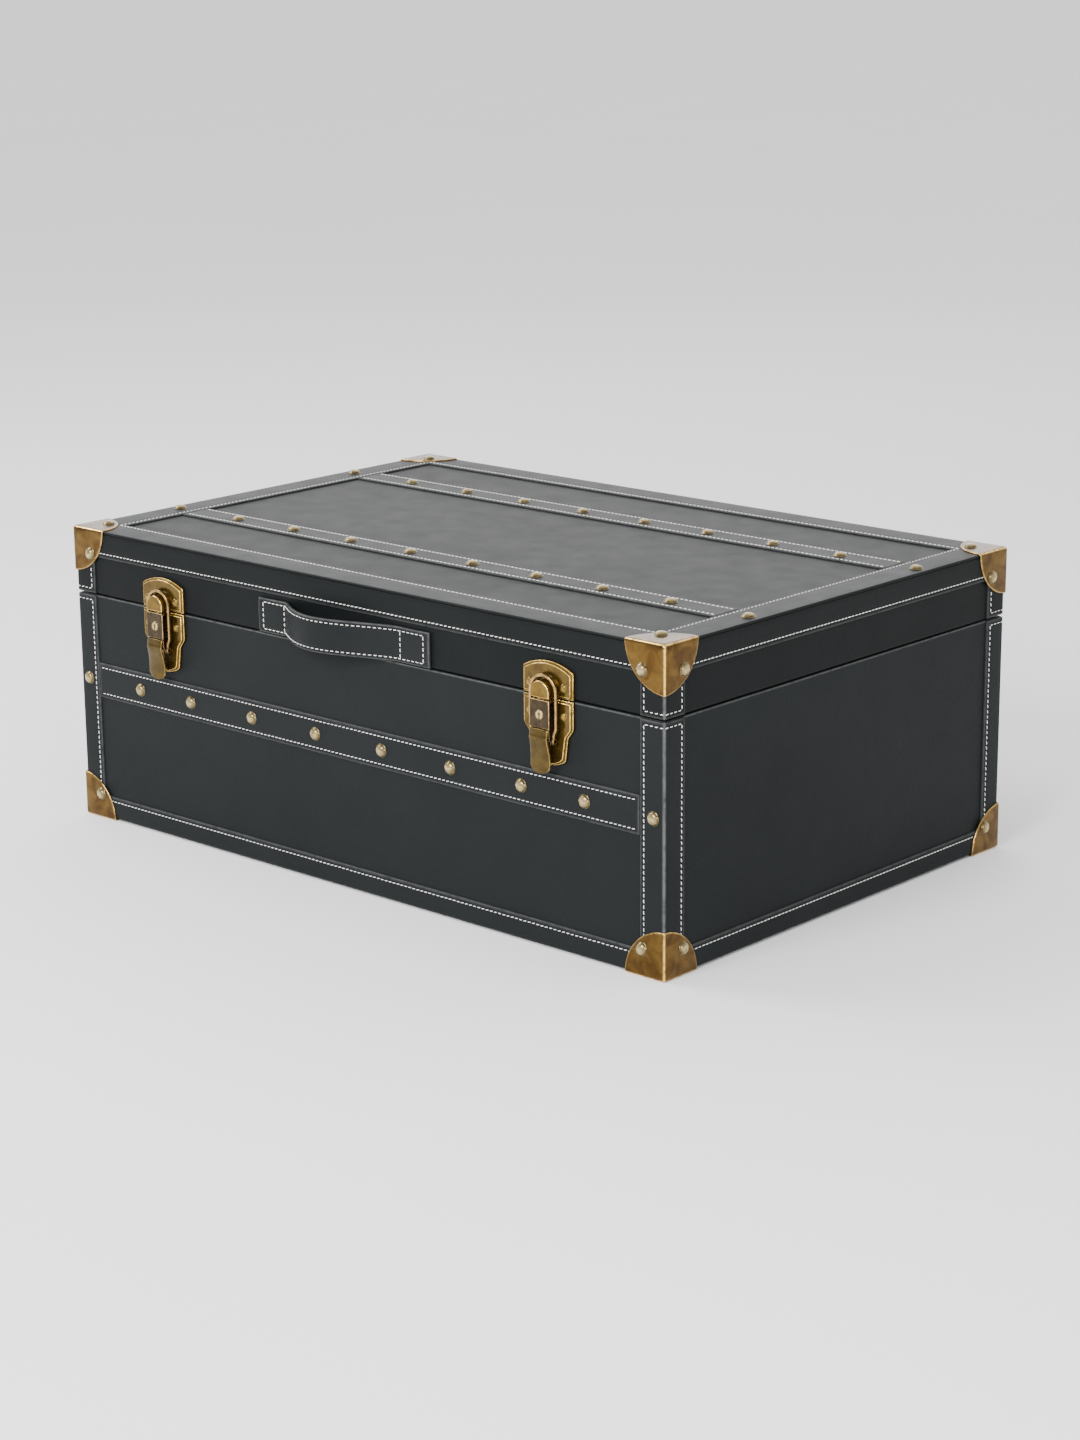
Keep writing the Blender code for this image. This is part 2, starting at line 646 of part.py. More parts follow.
def lever_sheet_mesh():
    """A loft through those stations: no primitive gives a tongue that both curves and changes width."""
    stations = lever_sheet_stations()
    bm = bmesh.new()
    rows = []
    for i, (p, v, half) in enumerate(stations):
        before, after = stations[max(i - 1, 0)], stations[min(i + 1, len(stations) - 1)]
        along = Vector((after[0] - before[0], after[1] - before[1])).normalized()
        inner_p, inner_v = p + along.y * LEVER_SHEET, v - along.x * LEVER_SHEET
        corners = ((-half, p, v), (half, p, v), (half, inner_p, inner_v), (-half, inner_p, inner_v))
        rows.append([bm.verts.new((u, -out, up)) for u, out, up in corners])
    for upper, lower in zip(rows, rows[1:]):
        for i in range(4):
            j = (i + 1) % 4
            bm.faces.new((upper[i], upper[j], lower[j], lower[i]))
    bm.faces.new(rows[0][::-1])
    bm.faces.new(rows[-1])
    bmesh.ops.recalc_face_normals(bm, faces=bm.faces)
    mesh = bpy.data.meshes.new("lever_sheet")
    bm.to_mesh(mesh)
    bm.free()
    return mesh


def add_lever(name, side):
    """The lever: front sheet and tongue, two side walls with the pin holes, and the lock's case."""
    place = latch_frame(side)
    lever = add_object(f"latch_lever_{name}", lever_sheet_mesh(), BRASS_MAT, place)
    front = LEVER_FACE - LEVER_SHEET / 2
    p, v = LEVER_PIVOT
    outline = [
        (front, -0.026), (front, -0.004), (front - 0.002, -0.0018), *arc((p, v), 0.0036, 60, 180, 6),
        (p - 0.0036, -0.030), (LOOP_PIVOT[0] - 0.003, -0.0355),
        *arc(LOOP_PIVOT, 0.003, 180, 300, 4), (0.0108, -0.0398), (0.0128, -0.034),
    ]
    for index, u in enumerate((-WALL_HALF, WALL_HALF - LEVER_WALL)):
        wall = side_profile_mesh(outline, u, u + LEVER_WALL)
        add_boolean(lever, add_cutter(f"lever_wall_{name}_{index}", wall, place), "UNION")
    inner = WALL_HALF - LEVER_WALL / 2
    case = box_mesh((-inner, -front, -0.0250), (inner, -p, -0.0088))
    add_boolean(lever, add_cutter(f"lock_case_{name}", case, place), "UNION")
    for index, pivot in enumerate((LEVER_PIVOT, LOOP_PIVOT)):
        hole = pin_hole(pivot, PIN_RADIUS + PIN_PLAY, 0.012)
        add_boolean(lever, add_cutter(f"lever_hole_{name}_{index}", hole, place))
    bore = cylinder_mesh(PLUG_RADIUS + 0.00015, -0.02, 0, "Y", (0, PLUG_V), segments=24)
    add_boolean(lever, add_cutter(f"plug_bore_{name}", bore, place))


def add_loop(name, side):
    """The arched loop that hangs on the lever's sides and drops over the hook."""
    place = latch_frame(side)
    outer, foot_outer = LOOP_INNER + LOOP_BAR, LOOP_FOOT + LOOP_BAR
    foot, step_low, step_high = LOOP_PIVOT[1], -0.0305, -0.0265
    outline = [
        (foot_outer, foot), (foot_outer, step_low), (outer, step_high),
        *arc((0, LOOP_CENTRE_V), outer, 0, 180, 16),
        (-outer, step_high), (-foot_outer, step_low), (-foot_outer, foot),
        (-LOOP_FOOT, foot), (-LOOP_FOOT, step_low), (-LOOP_INNER, step_high),
        *arc((0, LOOP_CENTRE_V), LOOP_INNER, 180, 0, 16),
        (LOOP_INNER, step_high), (LOOP_FOOT, step_low), (LOOP_FOOT, foot),
    ]
    middle = LOOP_PIVOT[0]
    frame = face_plate_mesh(outline, middle - LOOP_BAR / 2, middle + LOOP_BAR / 2)
    loop = add_object(f"latch_loop_{name}", frame, BRASS_MAT, place)
    for index, (low, high) in enumerate(((-foot_outer, -LOOP_FOOT), (LOOP_FOOT, foot_outer))):
        eye = cylinder_mesh(0.0029, low, high, "X", (-middle, foot), segments=20)
        add_boolean(loop, add_cutter(f"loop_eye_{name}_{index}", eye, place), "UNION")
    hole = pin_hole(LOOP_PIVOT, PIN_RADIUS + PIN_PLAY, 0.02)
    add_boolean(loop, add_cutter(f"loop_hole_{name}", hole, place))


def add_lock_plug(name, side):
    """The round plug in the lever's face, with its key slot."""
    place = latch_frame(side)
    x, y, z = place
    at = (x, y, z + PLUG_V)
    mesh = cylinder_mesh(PLUG_RADIUS, -LEVER_FACE - 0.0002, -LEVER_PIVOT[0] - GAP, "Y", segments=24)
    plug = add_object(f"lock_plug_{name}", mesh, BRASS_MAT, at)
    slot = box_mesh((-0.0006, -0.03, -0.0026), (0.0006, -LEVER_FACE + 0.001, 0.0026))
    add_boolean(plug, add_cutter(f"key_slot_{name}", slot, at))


def add_latches():
    for name, side in SIDES:
        add_upper_plate(name, side)
        add_lower_plate(name, side)
        add_lever(name, side)
        add_loop(name, side)
        add_lock_plug(name, side)
        x, y, z = latch_frame(side)
        pins = (("lever_pin", LEVER_PIVOT, WALL_HALF), ("loop_pin", LOOP_PIVOT, LOOP_FOOT + LOOP_BAR))
        for kind, (p, v), half in pins:
            mesh = cylinder_mesh(PIN_RADIUS, -half, half, "X")
            add_object(f"latch_{kind}_{name}", mesh, STEEL_MAT, (x, y - p, z + v))


# ---- hinges ------------------------------------------------------------------------------------
def add_leaf(name, side, direction, knuckles):
    """One leaf of a butt hinge. direction is 1 for the lid's leaf and -1 for the base's."""
    place = (side * HINGE_X, HINGE_Y - HINGE_AXIS_P, SEAM_Z)
    near, far = HINGE_BARREL + 0.0006, HINGE_BARREL + HINGE_LEAF
    low, high = sorted((direction * near, direction * far))
    leaf = add_object(name, box_mesh((-HINGE_HALF, 0, low), (HINGE_HALF, BRASS, high)), BRASS_MAT, place)
    for index, (start, end) in enumerate(knuckles):
        low, high = sorted((0.0, direction * (near + BRASS)))
        tongue = box_mesh((start, 0, low), (end, BRASS, high))
        barrel = cylinder_mesh(HINGE_BARREL, start, end, "X", (HINGE_AXIS_P, 0), segments=20)
        add_boolean(leaf, add_cutter(f"{name}_tongue_{index}", tongue, place), "UNION")
        add_boolean(leaf, add_cutter(f"{name}_barrel_{index}", barrel, place), "UNION")
    hole = cylinder_mesh(PIN_RADIUS + PIN_PLAY, -1.2 * HINGE_HALF, 1.2 * HINGE_HALF, "X", (HINGE_AXIS_P, 0))
    add_boolean(leaf, add_cutter(f"{name}_hole", hole, place))
    dome = dome_mesh(RIVET_RADIUS * 0.8, RIVET_HEIGHT * 0.7, BRASS / 2, segments=10, rings=2)
    rivet_v = direction * (near + far) / 2
    rivets = [
        (dome, Matrix.Translation((u, BRASS, rivet_v)) @ FACING["back"])
        for u in (-HINGE_HALF * 0.68, 0, HINGE_HALF * 0.68)
    ]
    add_boolean(leaf, add_cutter(f"{name}_rivets", join_meshes(rivets), place), "UNION")


def add_hinges():
    outer = KNUCKLE_HALF + 0.0004
    for name, side in SIDES:
        add_leaf(f"hinge_lower_leaf_{name}", side, -1, ((-HINGE_HALF, -outer), (outer, HINGE_HALF)))
        add_leaf(f"hinge_upper_leaf_{name}", side, 1, ((-KNUCKLE_HALF, KNUCKLE_HALF),))
        mesh = cylinder_mesh(PIN_RADIUS, -HINGE_HALF, HINGE_HALF, "X")
        add_object(f"hinge_pin_{name}", mesh, STEEL_MAT, (side * HINGE_X, HINGE_Y, SEAM_Z))


# ---- handle ------------------------------------------------------------------------------------
def handle_stand_off(x):
    """How far the strap's back stands off the lid. It bows out most on the left of the middle."""
    start, end = HANDLE_GRIP
    share = (x - start) / (end - start)
    if not 0 < share < 1:
        return 0.0
    return HANDLE_BOW * math.sin(math.pi * share ** 0.75) ** 1.5


def add_handle():
    """A doubled leather strap: both ends lie flat on the lid, and the middle stands off it."""
    steps = 36
    start, end = HANDLE_GRIP
    stations = [HANDLE_ENDS[0]] + [start + (end - start) * i / steps for i in range(steps + 1)]
    stations.append(HANDLE_ENDS[1])
    back = [(x, -handle_stand_off(x)) for x in stations]
    front = []
    for x, y in back:
        slope = (handle_stand_off(x + 0.0005) - handle_stand_off(x - 0.0005)) / 0.001
        normal = Vector((-slope, -1.0)).normalized()
        front.append((x + normal.x * HANDLE_THICK, y + normal.y * HANDLE_THICK))
    mesh = outline_mesh([*front, *reversed(back)], HANDLE_WIDTH)
    y_face = -DEPTH / 2 + COVER_FACE - GAP
    add_object("handle_strap", mesh, LEATHER_MAT, (0, y_face, HANDLE_Z - HANDLE_WIDTH / 2))


# ---- ribbon stays --------------------------------------------------------------------------------
def turned(point, angle):
    """A (y, z) point from the hinge axis, moved as the lid moves when it opens by the angle."""
    y, z = point
    return y * math.cos(angle) + z * math.sin(angle), z * math.cos(angle) - y * math.sin(angle)


def smooth_share(z):
    """0 at the lower end of a stay and 1 at the upper end, with a smooth step between."""
    low, high = STAY_DROP + STAY_TAIL, STAY_RISE - STAY_TAIL
    share = min(1.0, max(0.0, (z - low) / (high - low)))
    return share * share * (3 - 2 * share)


def folded(point):
    """Where a point of the taut ribbon lies with the lid shut: each point turns back by its share."""
    low, high = 0.0, 1.0
    for _ in range(40):
        share = (low + high) / 2
        if smooth_share(turned(point, -share * LID_ANGLE)[1]) > share:
            low = share
        else:
            high = share
    return turned(point, -low * LID_ANGLE)


def add_stays():
    """Two ribbons that stop the lid. They are straight when it is open and folded in a V when shut."""
    lower = Vector((-STAY_RADIUS, STAY_DROP))
    upper = Vector(turned((-STAY_RADIUS, STAY_RISE), LID_ANGLE))
    along = (upper - lower).normalized()
    across = Vector((-along.y, along.x))
    steps = 40
    stations = [lower + (upper - lower) * (i / steps) for i in range(steps + 1)]
    edges = {side: [folded(s + across * STAY_HALF * side) for s in stations] for side in (-1, 1)}
    outline = [*edges[-1], *reversed(edges[1])]
    mesh = outline_mesh([(z, -y) for y, z in outline], STAY_THICK)
    mesh.transform(Matrix(((0, 0, 1, -STAY_THICK / 2), (0, -1, 0, 0), (1, 0, 0, 0), (0, 0, 0, 1))))
    for name, side in SIDES:
        add_object(f"lid_stay_ribbon_{name}", mesh, LINING_MAT, (side * STAY_X, HINGE_Y, SEAM_Z))


add_carcass()
add_bindings()
add_corner_strips()
add_straps()
add_brass_corners()
add_latches()
add_hinges()
add_handle()
add_stays()
for part in PARTS.objects:
    if part.type == "MESH":
        part.data.set_sharp_from_angle(angle=math.radians(35))
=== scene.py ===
"""The footlocker's finished look: black stitched leather, brass corners, latches, hinges, lining.

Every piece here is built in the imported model's frame, in metres. The front faces -Y.
"""

import math
import random

import bmesh
import bpy
import numpy as np
from mathutils import Matrix, Vector, noise


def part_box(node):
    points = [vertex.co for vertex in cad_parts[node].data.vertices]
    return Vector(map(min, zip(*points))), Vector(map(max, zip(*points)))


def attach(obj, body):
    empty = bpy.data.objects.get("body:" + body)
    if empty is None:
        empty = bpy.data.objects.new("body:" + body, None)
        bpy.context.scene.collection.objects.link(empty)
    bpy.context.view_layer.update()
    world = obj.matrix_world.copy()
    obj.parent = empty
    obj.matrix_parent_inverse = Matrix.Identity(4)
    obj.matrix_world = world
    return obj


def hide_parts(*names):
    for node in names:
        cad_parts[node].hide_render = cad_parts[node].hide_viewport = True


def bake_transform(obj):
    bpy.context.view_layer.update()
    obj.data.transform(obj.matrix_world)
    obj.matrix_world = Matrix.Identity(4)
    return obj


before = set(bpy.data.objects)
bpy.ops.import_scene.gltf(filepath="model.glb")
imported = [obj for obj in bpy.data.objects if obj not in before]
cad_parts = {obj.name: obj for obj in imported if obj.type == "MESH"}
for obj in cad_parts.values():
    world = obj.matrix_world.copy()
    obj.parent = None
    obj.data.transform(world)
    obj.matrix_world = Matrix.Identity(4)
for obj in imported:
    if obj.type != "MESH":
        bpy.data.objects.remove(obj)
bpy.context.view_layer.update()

random.seed(20)

# ---- sizes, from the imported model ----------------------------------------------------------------
STRIP_LOW, STRIP_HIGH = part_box("base_binding")
HALF_X = STRIP_HIGH[0]
HALF_Y = (STRIP_HIGH[1] - STRIP_LOW[1]) / 2
MID_Y = (STRIP_HIGH[1] + STRIP_LOW[1]) / 2
SOLE_Z = STRIP_LOW[2]
BINDING_TOP = STRIP_HIGH[2]
BASE_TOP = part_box("base_leather_cover")[1][2]
LID_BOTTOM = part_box("lid_leather_cover")[0][2]
SEAM_Z = (BASE_TOP + LID_BOTTOM) / 2
TOP_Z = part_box("lid_corner_strip_front_left")[1][2] + 0.0003 + 0.027
LID_BINDING_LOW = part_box("lid_binding")[0][2]
TIP_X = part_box("lid_brass_corner_front_right")[1][0] - 0.0038
BRASS_STAND = 0.0015  # brass corners stand this far outside the strips
COVER_INSET = 0.0019
LINING_INSET = 0.0145
LATCH_X = 0.2508
LATCH_Y = MID_Y - HALF_Y + COVER_INSET - 0.0003
HINGE_X = 0.235
HINGE_Y = MID_Y + HALF_Y - COVER_INSET + 0.0003
HINGE_AXIS_P = 0.0038

STRIP = 0.0019
FOLD = 0.003  # radius of the folded strips along the trunk's edges
EDGE = 0.0013  # width of a strip's rounded edge
LID_FOLD = 0.0014
CREASE = 0.0027  # how far below the lid's top its binding is creased
SINK = 0.0003  # strips reach this far into the cover below them
STITCH_INSET = 0.0048
PITCH = 0.0051
CORNER_LEG = 0.0275
LID_BORDER = 0.0365
FRONT_STRAP_Z = 0.1445
TOP_STRAP_Y = 0.124
STRAP_WIDTH = 0.036
CORNER_REACH = 0.045
FRONT_NAILS = (0.0435, 0.1305, 0.217, 0.291)
TOP_NAILS = (0.0405, 0.121, 0.201, 0.281)
STRIP_NAIL_INSET = 0.0125
SIDES = (("left", -1), ("right", 1))
ENDS = (("front", -1), ("back", 1))
CORNERS = [(f"{y_name}_{x_name}", sx, sy) for x_name, sx in SIDES for y_name, sy in ENDS]


# ---- materials -----------------------------------------------------------------------------------
def add_node(tree, kind, output, inputs, **settings):
    """The output of a new node whose inputs are set to numbers or linked to other outputs."""
    node = tree.nodes.new(kind)
    for key, value in settings.items():
        setattr(node, key, value)
    for key, value in inputs.items():
        if isinstance(value, bpy.types.NodeSocket):
            tree.links.new(value, node.inputs[key])
        else:
            node.inputs[key].default_value = value
    return node.outputs[output]


class Look:
    """A Principled material with a few textures in the piece's own coordinates."""

    def __init__(self, name, **settings):
        self.material = bpy.data.materials.new(name)
        self.material.use_nodes = True
        self.tree = self.material.node_tree
        self.shader = self.tree.nodes["Principled BSDF"]
        for key, value in settings.items():
            self.shader.inputs[key.replace("_", " ")].default_value = value
        self.coords = self.node("ShaderNodeTexCoord", "Object", {})

    def node(self, kind, output, inputs, **settings):
        return add_node(self.tree, kind, output, inputs, **settings)

    def noise(self, scale, detail=3.0, stretch=None, distortion=0.0):
        place = self.coords
        if stretch is not None:
            place = self.node("ShaderNodeMapping", "Vector", {"Vector": place, "Scale": stretch})
        inputs = {"Vector": place, "Scale": scale, "Detail": detail, "Distortion": distortion}
        return self.node("ShaderNodeTexNoise", "Fac", inputs)

    def cells(self, scale):
        return self.node("ShaderNodeTexVoronoi", "Distance", {"Vector": self.coords, "Scale": scale})

    def waves(self, scale, direction, distortion=0.0):
        inputs = {"Vector": self.coords, "Scale": scale, "Distortion": distortion}
        return self.node("ShaderNodeTexWave", "Fac", inputs, bands_direction=direction)

    # The wear mark: real wear together with painted highlights (positive values) and painted shade (negative
    # values).
    def wear_and_light(self):
        return self.node("ShaderNodeAttribute", "Fac", {}, attribute_name="wear_and_light")

    def spread(self, value, low, high, to_low=0.0, to_high=1.0):
        inputs = {"Value": value, "From Min": low, "From Max": high, "To Min": to_low, "To Max": to_high}
        return self.node("ShaderNodeMapRange", "Result", inputs)

    def math(self, operation, first, second):
        return self.node("ShaderNodeMath", "Value", {0: first, 1: second}, operation=operation)

    def mix(self, share, first, second):
        first, second = ((*v, 1.0) if isinstance(v, tuple) else v for v in (first, second))
        return self.node("ShaderNodeMix", 2, {0: share, 6: first, 7: second}, data_type="RGBA")

    def bump(self, height, depth, strength, below=None):
        inputs = {"Height": height, "Distance": depth, "Strength": strength}
        if below is not None:
            inputs["Normal"] = below
        return self.node("ShaderNodeBump", "Normal", inputs)

    def finish(self, colour, roughness, normal=None):
        sockets = {"Base Color": colour, "Roughness": roughness, "Normal": normal}
        for key, value in sockets.items():
            if value is not None:
                self.tree.links.new(value, self.shader.inputs[key])
        return self.material


def leather_look(name, dark, pale, rough, specular):
    """Black leather. Positive wear marks rub it pale, as real scuffs and as painted highlights; negative
    marks darken it with painted shade.
    """
    look = Look(name, Specular_IOR_Level=specular)
    tone = look.mix(look.spread(look.noise(9.0, 4.0), 0.3, 0.7), dark, pale)
    wear_and_light = look.wear_and_light()
    # Pale scuffs: real rubbing, and also painted highlight lines where the mark runs along edges, folds and
    # rims.
    scuff_and_highlight = look.math("MULTIPLY", look.spread(wear_and_light, 0.0, 1.0), look.spread(look.noise(160.0), 0.1, 0.55))
    colour = look.mix(scuff_and_highlight, tone, tuple(0.085 + 1.2 * c for c in pale))
    # Painted shade: a negative mark darkens the leather in the lid's seam and the binding's crease.
    colour = look.mix(look.spread(wear_and_light, 0.0, -1.0), colour, tuple(0.12 * c for c in dark))
    roughness = look.spread(look.noise(38.0, 4.0), 0.3, 0.7, rough - 0.025, rough + 0.03)
    grain = look.bump(look.cells(820.0), 0.00022, 0.55)
    creases = look.bump(look.noise(430.0, 4.0), 0.00018, 0.5, grain)
    slack = look.bump(look.noise(11.0, 2.0, (1.0, 1.0, 1.6)), 0.006, 0.05, creases)
    return look.finish(colour, roughness, slack)


def brass_look(name, dark, middle, bright, rough, mottle, metallic):
    """Aged brass, bright where the wear mark is high: worn brass, and also painted highlight lines on edges
    and crowns.
    """
    look = Look(name, Metallic=metallic)
    blotch = look.spread(look.noise(mottle, 5.0, distortion=0.6), 0.36, 0.62)
    colour = look.mix(blotch, dark, middle)
    wear_and_light_mark = look.math("MULTIPLY", look.wear_and_light(), look.spread(look.noise(240.0, 3.0), 0.2, 0.55))
    colour = look.mix(wear_and_light_mark, colour, bright)
    roughness = look.spread(look.noise(150.0, 4.0), 0.3, 0.7, rough - 0.07, rough + 0.1)
    dents = look.bump(look.noise(120.0, 3.0), 0.0004, 0.25)
    fine = look.bump(look.noise(900.0, 3.0), 0.00006, 0.35, dents)
    return look.finish(colour, roughness, fine)


def thread_look():
    look = Look("white_thread", Specular_IOR_Level=0.25)
    colour = look.mix(look.spread(look.noise(120.0), 0.35, 0.7), (0.78, 0.77, 0.73), (0.92, 0.91, 0.88))
    twist = look.bump(look.waves(900.0, "DIAGONAL"), 0.0002, 0.7)
    return look.finish(colour, look.spread(look.noise(300.0), 0.3, 0.7, 0.7, 0.9), twist)


def cloth_look(name, dark, pale, threads):
    look = Look(name, Specular_IOR_Level=0.2, Sheen_Weight=0.25, Sheen_Roughness=0.5)
    along_x, along_y, along_z = (look.waves(threads, axis, 0.6) for axis in "XYZ")
    weave = look.math("MULTIPLY", look.math("ADD", along_x, along_y), along_z)
    slub = look.noise(90.0, 4.0, (1.0, 1.0, 6.0))
    colour = look.mix(look.spread(look.math("ADD", weave, slub), 0.3, 1.7), dark, pale)
    soil = look.mix(look.spread(look.noise(7.0, 4.0), 0.5, 0.8), colour, dark)
    roughness = look.spread(look.noise(200.0), 0.3, 0.7, 0.85, 0.97)
    return look.finish(soil, roughness, look.bump(weave, 0.00025, 0.7))


def board_look():
    look = Look("grey_board")
    fibres = look.noise(260.0, 5.0, (1.0, 1.0, 5.0))
    colour = look.mix(look.spread(fibres, 0.3, 0.7), (0.30, 0.21, 0.13), (0.46, 0.34, 0.22))
    roughness = look.spread(look.noise(60.0), 0.3, 0.7, 0.75, 0.9)
    return look.finish(colour, roughness, look.bump(fibres, 0.0003, 0.6))


def steel_look():
    look = Look("pin_steel", Metallic=1.0)
    drawn = look.noise(500.0, 3.0, (0.05, 1.0, 1.0))
    colour = look.mix(look.spread(drawn, 0.3, 0.7), (0.26, 0.23, 0.18), (0.46, 0.42, 0.34))
    roughness = look.spread(drawn, 0.3, 0.7, 0.3, 0.45)
    return look.finish(colour, roughness, look.bump(drawn, 0.0001, 0.4))


LEATHER = leather_look("black_leather", (0.0090, 0.0106, 0.0112), (0.0106, 0.0124, 0.0130), 0.42, 0.05)
STRAP_LEATHER = leather_look("strap_leather", (0.0092, 0.0108, 0.0114), (0.0110, 0.0127, 0.0134), 0.38, 0.055)
# Painted shade: the lid's leather and its straps are darker copies of the base's, standing for the shade the
# lid lies in.
SHADED_LID_LEATHER = leather_look("lid_leather", (0.0058, 0.0068, 0.0072), (0.0070, 0.0081, 0.0085), 0.42, 0.05)
SHADED_LID_STRAP_LEATHER = leather_look(
    "lid_strap_leather", (0.0062, 0.0073, 0.0077), (0.0076, 0.0088, 0.0092), 0.38, 0.055
)
HANDLE_LEATHER = leather_look(
    "handle_leather", (0.0092, 0.0106, 0.0111), (0.0132, 0.0149, 0.0154), 0.46, 0.05
)
BRASS_LOOKS = {  # name: dark, middle and bright colour, roughness, scale of the blotches, metallic
    "antique_brass": ((0.072, 0.036, 0.0085), (0.135, 0.077, 0.0185), (0.92, 0.60, 0.20), 0.2, 70.0, 0.95),
    "plate_brass": ((0.066, 0.040, 0.007), (0.110, 0.068, 0.012), (0.92, 0.58, 0.14), 0.22, 110.0, 0.78),
    "hook_brass": ((0.11, 0.066, 0.013), (0.17, 0.103, 0.022), (0.95, 0.62, 0.20), 0.23, 110.0, 0.9),
    "loop_brass": ((0.070, 0.040, 0.011), (0.120, 0.070, 0.020), (0.50, 0.31, 0.12), 0.22, 110.0, 0.85),
    # Painted reflection: the lever's brass is a much darker copy, standing for the dark reflection in its
    # flat front.
    "lever_brass": ((0.030, 0.020, 0.010), (0.052, 0.035, 0.018), (0.62, 0.40, 0.19), 0.28, 110.0, 0.85),
    "tongue_brass": ((0.056, 0.036, 0.009), (0.080, 0.052, 0.013), (0.60, 0.40, 0.13), 0.25, 110.0, 0.85),
    "nail_brass": ((0.055, 0.040, 0.016), (0.16, 0.118, 0.052), (0.50, 0.39, 0.19), 0.2, 320.0, 0.85),
    "plug_brass": ((0.30, 0.21, 0.08), (0.55, 0.41, 0.17), (0.80, 0.62, 0.30), 0.2, 320.0, 0.85),
    "keyhole_shadow": ((0.006, 0.004, 0.002), (0.015, 0.010, 0.005), (0.03, 0.02, 0.01), 0.6, 70.0, 0.85),
}
BRASS, PLATE_BRASS, HOOK_BRASS, LOOP_BRASS, SHADED_LEVER_BRASS, TONGUE_BRASS, NAIL_BRASS, PLUG_BRASS, KEYHOLE_SHADOW = (
    brass_look(name, *numbers) for name, numbers in BRASS_LOOKS.items()
)
THREAD = thread_look()
LINING = cloth_look("lining_cloth", (0.20, 0.155, 0.115), (0.36, 0.295, 0.225), 420.0)
RIBBON = cloth_look("stay_ribbon", (0.045, 0.036, 0.030), (0.10, 0.082, 0.068), 620.0)
BRAID = cloth_look("rim_braid", (0.05, 0.04, 0.033), (0.13, 0.105, 0.085), 300.0)
BOARD = board_look()
STEEL = steel_look()


# ---- mesh helpers --------------------------------------------------------------------------------
def piece(name, mesh, material, body, nodes=(), sharp=40):
    """A finished piece that rides on a body and stands for some CAD nodes."""
    mesh.materials.clear()
    mesh.materials.append(material)
    for polygon in mesh.polygons:
        polygon.use_smooth = True
    mesh.set_sharp_from_angle(angle=math.radians(sharp))
    obj = bpy.data.objects.new(name, mesh)
    bpy.context.scene.collection.objects.link(obj)
    if body:
        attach(obj, body)
    if nodes:
        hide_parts(*nodes)
    return obj


def mesh_of(name, vertices, faces, wear_and_light=None):
    mesh = bpy.data.meshes.new(name)
    mesh.from_pydata([tuple(v) for v in vertices], [], faces)
    bm = bmesh.new()
    bm.from_mesh(mesh)
    bmesh.ops.recalc_face_normals(bm, faces=bm.faces)
    bm.to_mesh(mesh)
    bm.free()
    set_wear_and_light(mesh, np.zeros(len(mesh.vertices)) if wear_and_light is None else wear_and_light)
    return mesh


# Stores the wear mark, which holds real wear and also painted highlights and painted shade.
def set_wear_and_light(mesh, values):
    attribute = mesh.attributes.get("wear_and_light") or mesh.attributes.new("wear_and_light", "FLOAT", "POINT")
    attribute.data.foreach_set("value", np.asarray(values, np.float32))


def merge_close(mesh):
    distance = 0.00002
    bm = bmesh.new()
    bm.from_mesh(mesh)
    bmesh.ops.remove_doubles(bm, verts=bm.verts, dist=distance)
    bmesh.ops.dissolve_degenerate(bm, edges=bm.edges, dist=distance / 2)
    bm.to_mesh(mesh)
    bm.free()
    return mesh


def grid_solid(name, top, bottom, ring=False, wear_and_light=None):
    """A closed solid between two grids of points, (rows, columns, 3) each. A ring joins its ends."""
    rows, columns = top.shape[:2]
    count = rows * columns
    last = rows if ring else rows - 1
    faces = []
    for i in range(last):
        a, b = i * columns, (i + 1) % rows * columns
        for j in range(columns - 1):
            faces.append((a + j, b + j, b + j + 1, a + j + 1))
            faces.append((count + a + j + 1, count + b + j + 1, count + b + j, count + a + j))
        end = columns - 1
        faces.append((count + a, count + b, b, a))
        faces.append((a + end, b + end, count + b + end, count + a + end))
    if not ring:
        for row, order in ((0, 1), ((rows - 1) * columns, -1)):
            for j in range(columns - 1):
                a, b = row + j, row + j + 1
                faces.append((a, b, count + b, count + a)[::order])
    vertices = np.concatenate([top.reshape(-1, 3), bottom.reshape(-1, 3)])
    marks = None
    if wear_and_light is not None:
        marks = np.concatenate([wear_and_light.reshape(-1), np.zeros(count)])
    return mesh_of(name, vertices, faces, marks)


def capped_tube(rings, size):
    """Faces of a tube of rings of points, closed at each end by one flat face."""
    faces = []
    for r in range(rings - 1):
        for k in range(size):
            n = (k + 1) % size
            faces.append((r * size + k, r * size + n, (r + 1) * size + n, (r + 1) * size + k))
    last = (rings - 1) * size
    return faces + [tuple(range(size)), tuple(range(last, last + size))]


def fanned_tube(rings, size):
    """Faces of a tube whose ends are fans. Point 0 is its first centre, and its last point the other."""
    faces = []
    last = 1 + (rings - 1) * size
    for k in range(size):
        n = (k + 1) % size
        faces.append((0, 1 + k, 1 + n))
        for a in range(1, last, size):
            faces.append((a + k, a + size + k, a + size + n, a + n))
        faces.append((last + k, last + size, last + n))
    return faces


def joined(name, parts):
    """One mesh of several (points, faces, wear) parts."""
    vertices, faces, wear_and_light, first = [], [], [], 0
    for shape, some_faces, some_wear in parts:
        vertices.append(shape)
        faces += [tuple(first + k for k in face) for face in some_faces]
        wear_and_light.append(some_wear)
        first += len(shape)
    return mesh_of(name, np.concatenate(vertices), faces, np.concatenate(wear_and_light))


def many(name, template, places):
    """One mesh of a template repeated at (point, along, out) places."""
    shape, faces, wear_and_light = template
    parts = []
    for at, along, out in places:
        along, out = np.array(along, float), np.array(out, float)
        turn = np.stack([along, np.cross(out, along), out])
        parts.append((shape @ turn + np.array(at), faces, wear_and_light))
    return joined(name, parts)


